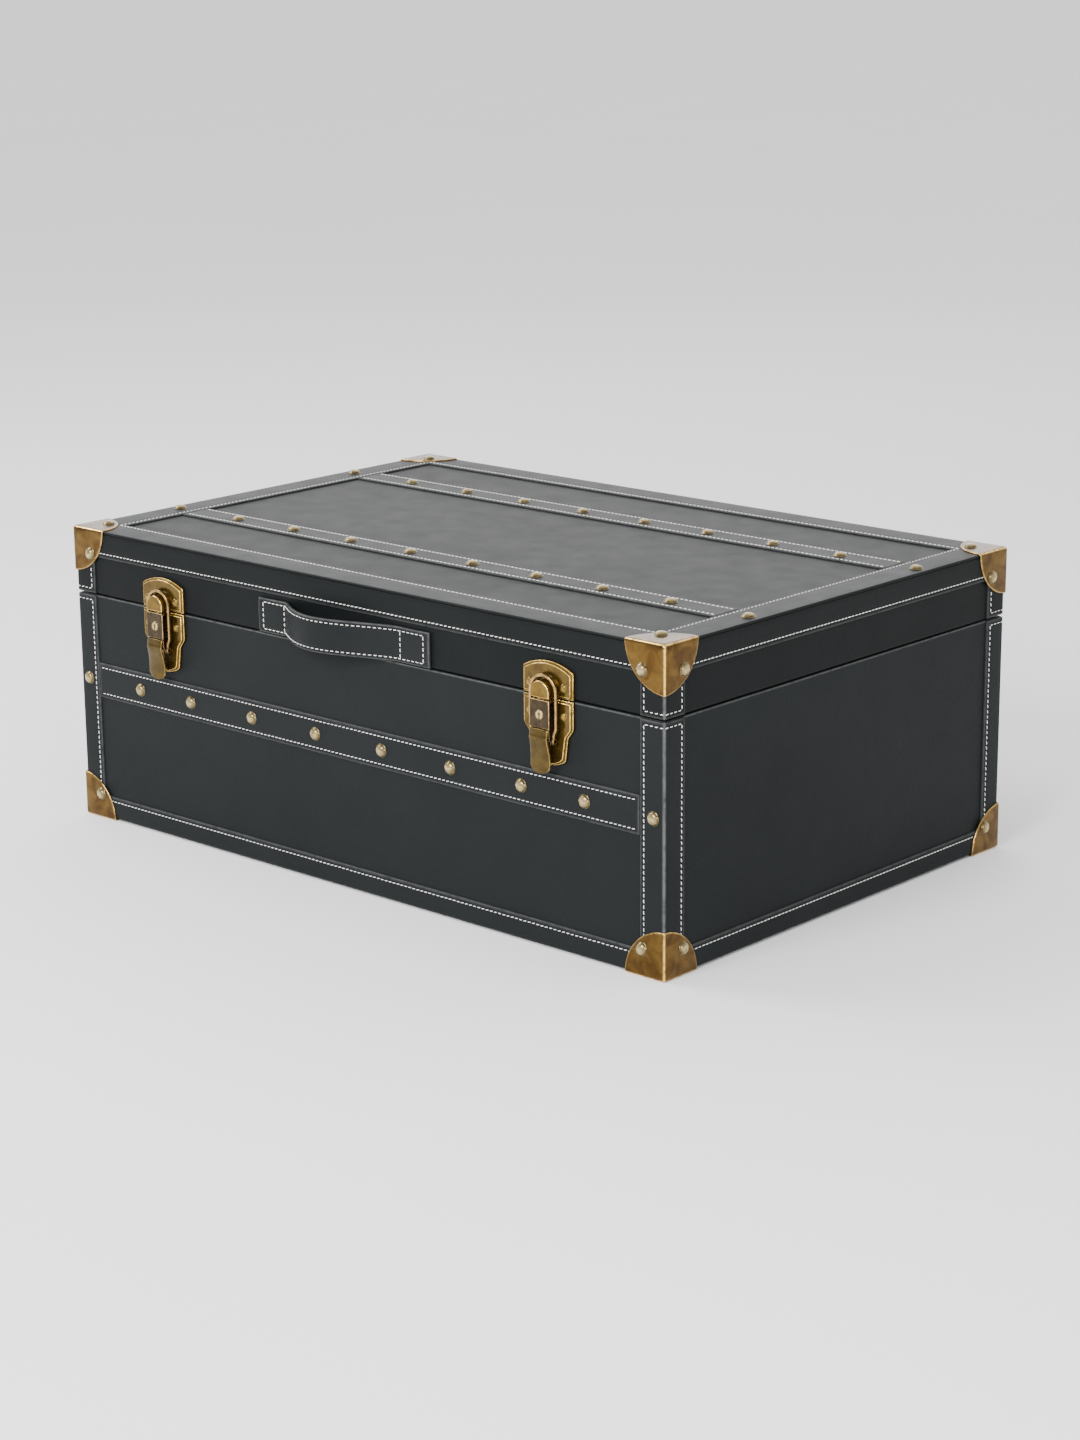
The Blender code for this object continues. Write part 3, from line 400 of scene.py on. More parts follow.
def lathe(profile, segments, wear_and_light):
    """A turned template about Z from (radius, z) points, the first and last on the axis."""
    vertices, marks = [(0.0, 0.0, profile[0][1])], [wear_and_light[0]]
    for (radius, z), mark in zip(profile[1:-1], wear_and_light[1:-1]):
        for k in range(segments):
            angle = 2 * math.pi * k / segments
            vertices.append((radius * math.cos(angle), radius * math.sin(angle), z))
            marks.append(mark)
    vertices.append((0.0, 0.0, profile[-1][1]))
    marks.append(wear_and_light[-1])
    return np.array(vertices), fanned_tube(len(profile) - 2, segments), np.array(marks)


def dome(radius, height, segments=28, root=0.0006):
    """A nail head: a hammered dome on a thin rim."""
    steps = [math.radians(a) for a in (12, 26, 40, 54, 68, 82)]
    profile = [(0.0, height)] + [(radius * 0.93 * math.sin(a), height * math.cos(a)) for a in steps]
    profile += [(radius * 0.96, height * 0.09), (radius, height * 0.05)]
    profile += [(radius * 0.985, -root), (0.0, -root)]
    # A pale crown that fades down the sides: partly worn dome tops, partly a painted highlight on each head.
    wear_and_light = [1.0, 0.95, 0.85, 0.6, 0.3, 0.05, 0.0, 0.0, 0.2, 0.0, 0.0]
    shape, faces, marks = lathe(profile, segments, wear_and_light)
    for vertex in shape:
        if vertex[2] > height * 0.1:
            vertex[2] += 0.00025 * noise.noise(Vector(vertex) * 420)
    return shape, faces, marks


def stitch():
    """One stitch: a short arched thread with its two ends sunk in the leather."""
    stations = (  # (place along it, radius, lift)
        (-1.0, 0.45, -0.55), (-0.86, 0.85, 0.0), (-0.45, 1.0, 0.35), (0.0, 1.0, 0.42),
        (0.45, 1.0, 0.35), (0.86, 0.85, 0.0), (1.0, 0.45, -0.55),
    )
    half, thick, sides = 0.00165, 0.00040, 6
    vertices = []
    for x, radius, lift in stations:
        for k in range(sides):
            angle = 2 * math.pi * k / sides
            y, z = math.cos(angle) * radius * thick, math.sin(angle) * radius * thick
            vertices.append((x * half, y, z + lift * thick))
    return np.array(vertices), capped_tube(len(stations), sides), np.zeros(len(vertices))


STITCH = stitch()
NAIL = dome(0.0066, 0.0037)
SMALL_RIVET = dome(0.0045, 0.0021, 24)
# The small rivets keep a quarter of that worn and painted-highlight crown.
SMALL_RIVET[2][:] *= 0.25


def near_brass(point):
    """Whether a point lies under one of the brass corners."""
    for x in (-TIP_X, TIP_X):
        for y in (MID_Y - HALF_Y - BRASS_STAND, MID_Y + HALF_Y + BRASS_STAND):
            for z in (0.0, TOP_Z + BRASS_STAND):
                if (point - Vector((x, y, z))).length < CORNER_REACH - 0.0006:
                    return True
    return False


def stitch_row(start, end, out):
    """Places of the stitches from start to end on a face whose normal is out."""
    start, end, out = Vector(start), Vector(end), Vector(out)
    along = (end - start).normalized()
    length = (end - start).length
    count = max(1, round(length / PITCH))
    places = []
    for i in range(count):
        at = start + along * (length * (i + 0.5) / count)
        slant = Matrix.Rotation(math.radians(random.uniform(3.5, 8.5)), 3, out)
        if not near_brass(at):
            places.append((tuple(at), tuple(slant @ along), tuple(out)))
    return places


# ---- leather strips ------------------------------------------------------------------------------
def edge_rise(distance):
    """0 at a strip's edge and 1 from EDGE inward, along a quarter of a circle."""
    share = np.clip(np.asarray(distance, float) / EDGE, 0, 1)
    return np.sqrt(np.maximum(0.0, 1 - (1 - share) ** 2))


def strip_height(across, along_edge, position, marks):
    """Height of a strip's face: rounded at its edges, drawn in along its stitches."""
    rise = np.minimum(edge_rise(across), edge_rise(along_edge))
    pucker = 0.65 + 0.35 * np.cos(2 * np.pi * position / PITCH)
    groove = np.exp(-((across - marks) / 0.0009) ** 2) * np.clip((along_edge - 0.002) / 0.002, 0, 1)
    return STRIP * rise - 0.00038 * groove * pucker * rise


# Pale strip edges: partly worn cut edges, and partly a painted highlight line along each rounded edge.
def strip_edge_wear_and_highlight(across, along_edge):
    nearest = np.minimum(across, along_edge)
    return 0.45 * np.exp(-((nearest - 0.0008) / 0.0006) ** 2)


EDGE_STOPS = [0.0, 0.00008, 0.0003, 0.0007, EDGE]
LINE_STOPS = [STITCH_INSET + d for d in (-0.0018, -0.0008, 0.0, 0.0008, 0.0018)]


def cuts(length, step=PITCH / 3):
    """Positions along a strip, closer together at its two ends."""
    count = max(2, round((length - 2 * EDGE) / step))
    middle = [EDGE + (length - 2 * EDGE) * i / count for i in range(1, count)]
    return np.array(EDGE_STOPS + middle + [length - e for e in reversed(EDGE_STOPS)])


def width_cuts(width):
    """Positions across a strip, with its stitch lines followed closely."""
    stops = EDGE_STOPS + LINE_STOPS
    return np.array(stops + [width * f for f in (0.3, 0.5, 0.7)] + [width - v for v in reversed(stops)])


def flat_strip(name, start, along, side, out, length):
    """A stitched strap on a flat face. start is the middle of its end, on the cover."""
    u, a = np.meshgrid(cuts(length), width_cuts(STRAP_WIDTH), indexing="ij")
    across, along_edge = np.minimum(a, STRAP_WIDTH - a), np.minimum(u, length - u)
    height = strip_height(across, along_edge, u, STITCH_INSET)
    along, side, out = np.array(along), np.array(side), np.array(out)
    base = np.array(start) + u[..., None] * along + (a - STRAP_WIDTH / 2)[..., None] * side
    top = base + height[..., None] * out
    return grid_solid(name, top, base - SINK * out, wear_and_light=strip_edge_wear_and_highlight(across, along_edge))


def fold_section(leg_a, leg_b, fold=FOLD, crease=()):
    """A strip folded round an edge: outer points, outward normals and distance from its free edge.

    The edge is at (0, 0), the trunk lies in +x, +y, and leg a runs along y at x = 0. crease gives extra
    places on leg a, measured from the edge.
    """
    stops = sorted(EDGE_STOPS + LINE_STOPS)
    far = 0.02
    leg = stops + [leg_a * 0.45, leg_a * 0.7]
    rows = [((0.0, leg_a - distance), (-1.0, 0.0), distance) for distance in leg]
    rows += [((0.0, y), (-1.0, 0.0), far) for y in sorted(crease, reverse=True)]
    for k in range(7):
        angle = math.pi + math.pi / 2 * k / 6
        out = (math.cos(angle), math.sin(angle))
        rows.append(((fold + fold * out[0], fold + fold * out[1]), out, far))
    leg = stops + [leg_b * 0.45, leg_b * 0.7]
    rows += [((leg_b - distance, 0.0), (0.0, -1.0), distance) for distance in reversed(leg)]
    return [np.array(column) for column in zip(*rows)]


def corner_strip(name, x_side, y_side, z_low, z_high):
    """A strip folded round one of the trunk's upright edges."""
    points, normals, free = fold_section(CORNER_LEG, CORNER_LEG)
    u = cuts(z_high - z_low)[:, None]
    along_edge, across = np.broadcast_arrays(np.minimum(u, u[-1] - u), free)
    depth = STRIP - strip_height(across, along_edge, u, STITCH_INSET)

    def placed(depth):
        inset = points - normals * depth[..., None]
        x, y, z = np.broadcast_arrays(
            x_side * (HALF_X - inset[..., 0]), MID_Y + y_side * (HALF_Y - inset[..., 1]), z_low + u
        )
        return np.stack([x, y, z], axis=-1)

    wear_and_light = strip_edge_wear_and_highlight(across, along_edge)
    # Painted highlight: a pale line down the fold, where light would catch the trunk's upright edge.
    middle = len(free) // 2
    for offset, mark in ((0, 1.0), (1, 0.75), (2, 0.25)):
        wear_and_light[:, [middle - offset, middle + offset]] = mark
    return grid_solid(name, placed(depth), placed(np.full_like(depth, STRIP + SINK)), wear_and_light=wear_and_light)


def ring_samples(step):
    """Stations round the trunk: (along, out, half, reach, place, share of the way to the corner, angle)."""
    samples = []
    for along, out in (((1, 0), (0, -1)), ((0, 1), (1, 0)), ((-1, 0), (0, 1)), ((0, -1), (-1, 0))):
        half, reach = (HALF_X, HALF_Y) if along[0] else (HALF_Y, HALF_X)
        fixed = half - 0.05
        count = round(2 * fixed / step)
        side = (along, out, half, reach)
        samples += [(*side, -fixed, -share, None) for share in (0.75, 0.5, 0.25)]
        samples += [(*side, -fixed + 2 * fixed * i / count, 0.0, None) for i in range(count + 1)]
        samples += [(*side, fixed, share, None) for share in (0.25, 0.5, 0.75)]
        samples += [(*side, fixed, 0.0, math.pi / 8 * k) for k in range(5)]
    return samples


def ring_point(sample, inset, z):
    """The point at a station for an inset from the trunk's outside."""
    along, out, half, reach, u, share, angle = sample
    keep, turn = max(FOLD, inset), max(FOLD - inset, 0.0)
    if angle is None:
        a = u + share * (half - keep - abs(u))
        b = reach - inset
    else:
        a = half - keep + turn * math.sin(angle)
        b = reach - keep + turn * math.cos(angle)
    return along[0] * a + out[0] * b, along[1] * a + out[1] * b + MID_Y, z


def ring_outward(sample):
    along, out, angle = np.array(sample[0]), np.array(sample[1]), sample[-1] or 0.0
    return np.array([*(out * math.cos(angle) + along * math.sin(angle)), 0.0])


def ring_grid(samples, section):
    """Points for each station and each (inset, z) of a section."""
    return np.array([[ring_point(sample, inset, z) for inset, z in section] for sample in samples])


def folded_ring(name, leg_down, leg_in, edge_z, up):
    """A binding folded round the trunk's top (up = 1) or bottom (up = -1) edge, all the way round."""
    crease = [CREASE + 0.0003 * k for k in range(-4, 5)] if up > 0 else ()
    points, normals, free = fold_section(leg_down, leg_in, LID_FOLD if up > 0 else FOLD, crease)
    samples = ring_samples(PITCH / 3)
    position = np.array([sample[4] for sample in samples])[:, None]
    across, far = np.broadcast_arrays(free, np.ones((len(samples), 1)))
    crease_pinch_and_shade = np.zeros(len(free))
    if up > 0:
        crease_pinch_and_shade = np.exp(-((points[:, 1] - CREASE) / 0.0006) ** 2) * (normals[:, 0] < -0.99)
    depths = STRIP - strip_height(across, far, position, STITCH_INSET) + 0.0007 * crease_pinch_and_shade
    under = points - normals * (STRIP + SINK)
    top = []
    for sample, row in zip(samples, depths):
        section = points - normals * row[:, None]
        top.append([ring_point(sample, inset, edge_z - up * down) for inset, down in section])
    bottom = ring_grid(samples, [(inset, edge_z - up * down) for inset, down in under])
    # Painted shade: the crease is darkened by a negative mark, on top of the strip's pale edges.
    wear_and_light = strip_edge_wear_and_highlight(across, far) - crease_pinch_and_shade
    return merge_close(grid_solid(name, np.array(top), bottom, ring=True, wear_and_light=wear_and_light))


def rounded_path(corners, radius, steps):
    """(inset, z) points through corners, each inner corner rounded."""
    points = [corners[0]]
    for before, at, after in zip(corners, corners[1:], corners[2:]):
        a, b, c = Vector(before), Vector(at), Vector(after)
        start = b + (a - b).normalized() * radius
        end = b + (c - b).normalized() * radius
        for k in range(steps + 1):
            t = k / steps
            points.append(tuple((1 - t) ** 2 * start + 2 * t * (1 - t) * b + t * t * end))
    points.append(corners[-1])
    return points


def finer(points, most, detail_z):
    """The same path with no stretch longer than most, and much shorter ones near detail_z."""
    result = [points[0]]
    for a, b in zip(points, points[1:]):
        a, b = Vector(a), Vector(b)
        cut_at = {1.0}
        if detail_z is not None and abs(b.y - a.y) > 0.001:
            shares = [(detail_z + 0.0005 * k - a.y) / (b.y - a.y) for k in range(-6, 7)]
            cut_at.update(share for share in shares if 0.001 < share < 0.999)
        last = 0.0
        for share in sorted(cut_at):
            count = max(1, math.ceil((share - last) * (b - a).length / most))
            for k in range(1, count + 1):
                result.append(tuple(a.lerp(b, last + (share - last) * k / count)))
            last = share
    return result


def ring_shell(name, path, thickness, step, slack, wear_and_light_mark=None):
    """A thin skin that follows an (inset, z) path round the trunk, a little uneven.

    The last argument is (z, width, amount): a band that a positive amount turns pale, partly wear and partly
    painted highlight, and a negative amount darkens with painted shade.
    """
    path = np.array(finer(path, 0.012, wear_and_light_mark and wear_and_light_mark[0]))
    samples = ring_samples(step)
    tangents = np.gradient(path, axis=0)
    tangents /= np.linalg.norm(tangents, axis=1)[:, None]
    normals = np.stack([-tangents[:, 1], tangents[:, 0]], axis=1)  # (towards larger inset, up)
    outward = [ring_outward(sample) for sample in samples]
    grids = [ring_grid(samples, skin) for skin in (path, path - normals * thickness)]
    for grid in grids:
        for i, j in np.ndindex(grid.shape[:2]):
            at = Vector(grid[i, j])
            shift = slack * noise.noise(at * 14) + slack * 0.6 * noise.noise(at * 31 + Vector((5, 1, 2)))
            grid[i, j] += outward[i] * normals[j, 0] * shift
    wear_and_light = np.zeros(grids[0].shape[:2])
    if wear_and_light_mark:
        z, width, amount = wear_and_light_mark
        wear_and_light += amount * np.exp(-((path[:, 1] - z) / width) ** 2)
    return merge_close(grid_solid(name, *grids, ring=True, wear_and_light=wear_and_light))


def panel(name, inset, z, thickness, slack, step=0.008):
    """A flat skin inset all round from the trunk's outside, a little uneven. thickness is signed, along Z."""
    half_x, half_y = HALF_X - inset, HALF_Y - inset
    xs = np.linspace(-half_x, half_x, round(2 * half_x / step))
    ys = np.linspace(MID_Y - half_y, MID_Y + half_y, round(2 * half_y / step))
    x, y = np.meshgrid(xs, ys, indexing="ij")
    bumps = np.array([[slack * noise.noise(Vector((a, b, 3.0)) * 13) for b in ys] for a in xs])
    top = np.stack([x, y, z + bumps], axis=-1)
    return grid_solid(name, top, top + (0, 0, thickness))


# ---- leather: covers, bindings, straps -------------------------------------------------------------
stitches = {"base": [], "lid": []}
nails = {"base": [], "lid": []}


def build_covers():
    c = COVER_INSET
    rim = 0.0128
    thick, step, slack = 0.0007, 0.006, 0.00016
    foot_z, top_z = SOLE_Z + 0.0019, TOP_Z - c
    base_path = [(0.016, foot_z), (c, foot_z), (c, BASE_TOP), (rim, BASE_TOP), (rim, BASE_TOP - 0.004)]
    lid_path = [(rim, LID_BOTTOM + 0.004), (rim, LID_BOTTOM), (c, LID_BOTTOM), (c, top_z), (0.045, top_z)]
    # A pale band on the base's top rim: partly rubbed wear, partly a painted highlight where light would
    # catch the rim.
    rubbed_and_highlit_rim = (BASE_TOP - 0.0010, 0.0006, 0.6)
    # Painted shade: a dark band along the lid's lower edge, standing for the shadow in the seam.
    painted_shade_rim = (LID_BOTTOM + 0.0003, 0.0010, -1.0)
    for body, path, soft, wear_and_light_mark, look in (
        ("base", base_path, 0.0013, rubbed_and_highlit_rim, LEATHER), ("lid", lid_path, 0.0024, painted_shade_rim, SHADED_LID_LEATHER)
    ):
        name = f"{body}_leather"
        mesh = ring_shell(name, rounded_path(path, soft, 7), thick, step, slack, wear_and_light_mark)
        piece(name, mesh, look, body, [f"{body}_leather_cover"])
    top = panel("lid_top_leather", 0.0365, top_z + 0.0001, -0.001, 0.00006)
    piece("lid_top_leather", top, SHADED_LID_LEATHER, "lid", ["lid_leather_cover"])
    sole = panel("base_sole_leather", 0.0195, SOLE_Z + 0.0017, 0.001, 0.0001, 0.02)
    piece("base_sole_leather", sole, LEATHER, "base", ["base_sole_sheet"])


def ring_stitches(inset, z, out_face=None):
    """A stitch line round the trunk at an inset, on its sides or, with out_face, on its top or foot."""
    places = []
    x, y = HALF_X - inset, HALF_Y - inset
    corners = [(-x, -y), (x, -y), (x, y), (-x, y)]
    outs = [(0, -1, 0), (1, 0, 0), (0, 1, 0), (-1, 0, 0)]
    for k in range(4):
        (ax, ay), (bx, by) = corners[k], corners[(k + 1) % 4]
        out = out_face or outs[k]
        places += stitch_row((ax, ay + MID_Y, z), (bx, by + MID_Y, z), out)
    return places


def build_bindings():
    base = folded_ring("base_binding_leather", BINDING_TOP - SOLE_Z, 0.023, SOLE_Z, -1)
    piece("base_binding_leather", base, STRAP_LEATHER, "base", ["base_binding"])
    stitches["base"] += ring_stitches(0.0, BINDING_TOP - STITCH_INSET)
    lid = folded_ring("lid_binding_leather", TOP_Z - LID_BINDING_LOW, LID_BORDER, TOP_Z, 1)
    piece("lid_binding_leather", lid, SHADED_LID_STRAP_LEATHER, "lid", ["lid_binding"])
    stitches["lid"] += ring_stitches(0.0, LID_BINDING_LOW + STITCH_INSET)
    stitches["lid"] += ring_stitches(LID_BORDER - STITCH_INSET, TOP_Z, (0, 0, 1))


def build_corner_strips():
    far, gap = CORNER_LEG - STITCH_INSET, 0.0006
    for body, look, z_low, z_high in (
        ("base", STRAP_LEATHER, BINDING_TOP + 0.0002, BASE_TOP - gap),
        ("lid", SHADED_LID_STRAP_LEATHER, LID_BOTTOM + gap, LID_BINDING_LOW - 0.0002),
    ):
        seam_row = z_high - STITCH_INSET if body == "base" else z_low + STITCH_INSET
        low, high = (z_low, seam_row) if body == "base" else (seam_row, z_high)
        for corner, sx, sy in CORNERS:
            name = f"{body}_corner_leather_{corner}"
            mesh = corner_strip(name, sx, sy, z_low, z_high)
            piece(name, mesh, look, body, [f"{body}_corner_strip_{corner}"])
            x, y = sx * HALF_X, MID_Y + sy * HALF_Y
            inner_x, inner_y = x - sx * far, y - sy * far
            end_x, end_y = x - sx * gap, y - sy * gap
            for start, end, out in (
                ((inner_x, y, low), (inner_x, y, high), (0, sy, 0)),
                ((x, inner_y, low), (x, inner_y, high), (sx, 0, 0)),
                ((inner_x, y, seam_row), (end_x, y, seam_row), (0, sy, 0)),
                ((x, inner_y, seam_row), (x, end_y, seam_row), (sx, 0, 0)),
            ):
                stitches[body] += stitch_row(start, end, out)
            if body == "base" and sy < 0:
                at = (sx * (HALF_X - STRIP_NAIL_INSET), y, FRONT_STRAP_Z)
                nails["base"].append((at, (1, 0, 0), (0, -1, 0)))


def strap(name, middle, half, side, out, row_gap, nail_places, body, look, node):
    """A strap along X with its two stitch rows, which end row_gap short of its ends, and its nails."""
    middle, side, out = Vector(middle), Vector(side), Vector(out)
    mesh = flat_strip(name, middle - Vector((half, 0, 0)) - out * STRIP, (1, 0, 0), side, out, 2 * half)
    piece(name, mesh, look, body, [node])
    row = Vector((half - row_gap, 0, 0))
    for offset in (STITCH_INSET - STRAP_WIDTH / 2, STRAP_WIDTH / 2 - STITCH_INSET):
        line = middle + side * offset
        stitches[body] += stitch_row(line - row, line + row, out)
    for x in nail_places:
        nails[body] += [(middle + Vector((s * x, 0, 0)), (1, 0, 0), out) for s in (-1, 1)]


def build_straps():
    half = HALF_X - CORNER_LEG - 0.0003
    front = (0, MID_Y - HALF_Y, FRONT_STRAP_Z)
    strap(
        "front_strap_leather", front, half, (0, 0, 1), (0, -1, 0), 0.004, FRONT_NAILS,
        "base", STRAP_LEATHER, "front_strap",
    )
    half = HALF_X - LID_BORDER - 0.0003
    top_nails = (*TOP_NAILS, HALF_X - STRIP_NAIL_INSET - 0.0003)
    for name, sy in ENDS:
        middle = (0, MID_Y + sy * TOP_STRAP_Y, TOP_Z)
        strap(
            f"lid_strap_leather_{name}", middle, half, (0, 1, 0), (0, 0, 1), 0.003, top_nails,
            "lid", SHADED_LID_STRAP_LEATHER, f"lid_strap_{name}",
        )


# ---- brass corners -----------------------------------------------------------------------------------
def brass_corner(name, sx, sy, sz):
    """A pressed cap over one corner: three lobes in one skin, rounded at the edges and rim."""
    tip = (sx * TIP_X, MID_Y + sy * (HALF_Y + BRASS_STAND), 0.0 if sz < 0 else TOP_Z + BRASS_STAND)
    thick, soft = 0.0012, 0.0026
    reach = CORNER_REACH
    radii = [0.0016, 0.004, 0.0075, 0.012, 0.018, 0.024, 0.030, 0.036, 0.0405, 0.0432, reach - 0.0012]
    levels = [0.0] * len(radii)
    radii += [reach - 0.0007, reach - 0.0003, reach - 0.00005, reach]
    levels += [-0.0001, -0.00035, -0.0007, -thick]
    sectors = 108

    def placed(radius, sector, level):
        """The cap's point at a radius from the tip, in a frame where the trunk lies in +x, +y, +z."""
        face, share = divmod(sector, sectors // 3)
        angle = math.pi / 4 * (1 - math.cos(math.pi * share / (sectors // 3)))
        flat = Vector((0.0, 0.0, 0.0))
        flat[face], flat[(face + 1) % 3] = radius * math.cos(angle), radius * math.sin(angle)
        core = Vector([max(v, soft) for v in flat])
        near = min(radius * math.cos(angle), radius * math.sin(angle))
        rise = 0.0 if sz < 0 and face == 0 else 0.0009 * min(1.0, near / 0.012) * max(0.0, 1 - radius / reach)
        return core - (core - flat).normalized() * (soft + level + rise), near

    rows = list(zip(radii, levels))
    rows += [(r, -thick) for r in (0.036, 0.024, 0.012, 0.004)]
    vertices, wear_and_light = [Vector((soft, soft, soft)) * (1 - 1 / math.sqrt(3))], [1.0]
    for radius, level in rows:
        for sector in range(sectors):
            point, near = placed(radius, sector, level)
            vertices.append(point)
            # Pale ridges and rim: worn brass, and also a painted highlight line where light would glint along
            # them.
            edge = math.exp(-((near - 0.0005) / 0.0007) ** 2)
            rim = math.exp(-((reach - radius - 0.0004) / 0.0006) ** 2)
            wear_and_light.append(max(edge, 0.5 * rim) if level > -thick * 0.9 else 0.0)
    vertices.append(Vector((1, 1, 1)) * (soft - (soft - thick) / math.sqrt(3)))
    wear_and_light.append(0.0)
    faces = fanned_tube(len(rows), sectors)
    flip = np.array((-sx, -sy, -sz))
    places = np.array([tuple(v) for v in vertices]) * flip + np.array(tip)
    return mesh_of(name, places, faces, wear_and_light), tip


def build_brass_corners():
    d = 0.0255  # how far the rivets are from the tip
    for body, sz in (("base", -1), ("lid", 1)):
        rivets = []
        for corner, sx, sy in CORNERS:
            name = f"{body}_corner_brass_{corner}"
            mesh, (x, y, z) = brass_corner(name, sx, sy, sz)
            piece(name, mesh, BRASS, body, [f"{body}_brass_corner_{corner}"], 60)
            rivets.append(((x - sx * d, y, z - sz * d), (1, 0, 0), (0, sy, 0)))
            rivets.append(((x, y - sy * d, z - sz * d), (0, 1, 0), (sx, 0, 0)))
            if sz > 0:
                rivets.append(((x - sx * d, y - sy * d, z), (1, 0, 0), (0, 0, 1)))
        mesh = many("rivets", NAIL, rivets)
        node = [f"{body}_brass_corner_front_left"]
        piece(f"{body}_corner_rivets", mesh, NAIL_BRASS, body, node, 60)


# ---- plates, bars and blocks, in a local frame (u, p, v) ------------------------------------------------
def solid_of(rings, wear_and_light):
    """A closed solid lofted through rings of points, as (points, faces, wear)."""
    points = [tuple(point) for ring in rings for point in ring]
    return np.array(points), capped_tube(len(rings), len(rings[0])), wear_and_light


def plate(rings, place, ring_wear_and_light):
    """A closed solid lofted through rings of (u, v) points, each at its own p. place maps to the frame."""
    wear_and_light = np.repeat(np.asarray(ring_wear_and_light, float), len(rings[0][0]))
    return solid_of([[place(u, p, v) for u, v in outline] for outline, p in rings], wear_and_light)


def arc(centre, radius, start, end, steps):
    angles = [math.radians(start + (end - start) * i / steps) for i in range(steps + 1)]
    return [(centre[0] + radius * math.cos(a), centre[1] + radius * math.sin(a)) for a in angles]


def shrunk(outline, inset):
    """A counter-clockwise outline moved in by inset along its corner normals."""
    result = []
    count = len(outline)
    for k in range(count):
        before, at, after = (Vector(outline[(k + d) % count]) for d in (-1, 0, 1))
        a, b = (at - before).normalized(), (after - at).normalized()
        middle = Vector((-a.y - b.y, a.x + b.x))
        result.append(tuple(at + middle * inset * 2 / max(middle.length_squared, 0.4)))
    return result


def rounded_block(outline, low, high, soft, place, both=False):
    """A slab of an outline from p = low to high, with its high edge rounded, and its low edge if both."""
    arcs = [math.radians(a) for a in (0, 30, 60, 90)]
    rings = []
    if both:
        rings += [(shrunk(outline, soft * (1 - math.sin(a))), low + soft * (1 - math.cos(a))) for a in arcs]
    else:
        rings.append((outline, low))
    rings += [(shrunk(outline, soft * (1 - math.cos(a))), high - soft * (1 - math.sin(a))) for a in arcs]
    rings[-1:] = [(shrunk(outline, soft), high), (shrunk(outline, soft + 0.0003), high)]
    # The high edge is marked pale: worn brass and a painted highlight line.
    return plate(rings, place, [0] * (len(rings) - 4) + [1, 1, 0, 0])


def direction(path, k):
    """The way a path of points runs at point k."""
    before, after = path[max(k - 1, 0)], path[min(k + 1, len(path) - 1)]
    return (Vector(after) - Vector(before)).normalized()


def bar(path, width, p, place, soft):
    """A bar of rounded-square section swept along (u, v) points at one height p."""
    half = width / 2
    section = []
    for x, y, start in ((1, 1, 0), (-1, 1, 90), (-1, -1, 180), (1, -1, 270)):
        section += arc((x * (half - soft), y * (half - soft)), soft, start, start + 90, 3)
    rings = []
    for k, (u, v) in enumerate(path):
        along = direction(path, k)
        rings.append([place(u + along.y * a, p + b, v - along.x * a) for a, b in section])
    # The bar's front is marked pale: worn brass and a painted highlight strip.
    wear_and_light = [0.8 if b > half - soft * 0.3 else 0.0 for _, b in section]
    return solid_of(rings, np.tile(wear_and_light, len(path)))


def barrel(centre, radius, low, high, place):
    """A cylinder along u from low to high, centred on (p, v), its ends softened."""
    soft, segments = 0.0003, 28
    rings = []
    for r, u in ((radius - soft, low), (radius, low + soft), (radius, high - soft), (radius - soft, high)):
        circle = arc(centre, r, 0, 360 - 360 / segments, segments - 1)
        rings.append([place(u, p, v) for p, v in circle])
    return solid_of(rings, np.full(4 * segments, 0.3))


# ---- latches -----------------------------------------------------------------------------------------
PLATE_HALF = 0.0287
PLATE_FACE = 0.0043
LEVER_FACE = 0.0144
LEVER_HALF = 0.0112
WALL_HALF = 0.0101
LEVER_PIVOT = (0.0092, -0.0045)
LOOP_PIVOT = (0.0087, -0.037)
LOOP_INNER = 0.0130
LOOP_FOOT = 0.0104
LOOP_BAR = 0.0033
HOOK_RADIUS = 0.0107
HOOK_CENTRE_V = 0.0057
PLUG_V = -0.0138


def latch_place(side):
    return lambda u, p, v: (side * LATCH_X + u, LATCH_Y - p, SEAM_Z + v)


def side_on(place):
    """The same frame for slabs drawn in (p, v) and thick along u."""
    return lambda p, u, v: place(u, p, v)


def upper_outline(inset):
    half, foot, shoulder, crown = PLATE_HALF - inset, 0.0008 + inset, 0.0245 - inset, 0.0320 - inset
    rise = crown - shoulder
    radius = (half * half + rise * rise) / (2 * rise)
    spread = math.degrees(math.asin(half / radius))
    head = arc((0, crown - radius), radius, 90 - spread, 90 + spread, 26)
    middle = foot + (shoulder - foot) / 2
    return [(-half, foot), (half, foot), (half, middle), *head, (-half, middle)]


def lower_outline(inset):
    half, waist, foot_half = PLATE_HALF - inset, 0.0225 - inset, 0.0197 - inset
    foot = -0.0556 + inset * 0.8
    bow = [(-foot_half * (1 - i / 8), foot - 0.0055 * (1 - (1 - i / 8) ** 2)) for i in range(1, 16)]
    neck = [(-half, -0.0252), (-half + 0.0004, -0.0264)]
    neck += [(-waist - 0.0006, -0.0330), (-waist + 0.0001, -0.0352)]
    right = [(-u, v) for u, v in neck]
    return [
        (half, -0.0008 - inset), (-half, -0.0008 - inset), *neck, (-foot_half, foot + 0.0008),
        *bow, (foot_half, foot + 0.0008), *right[::-1],
    ]


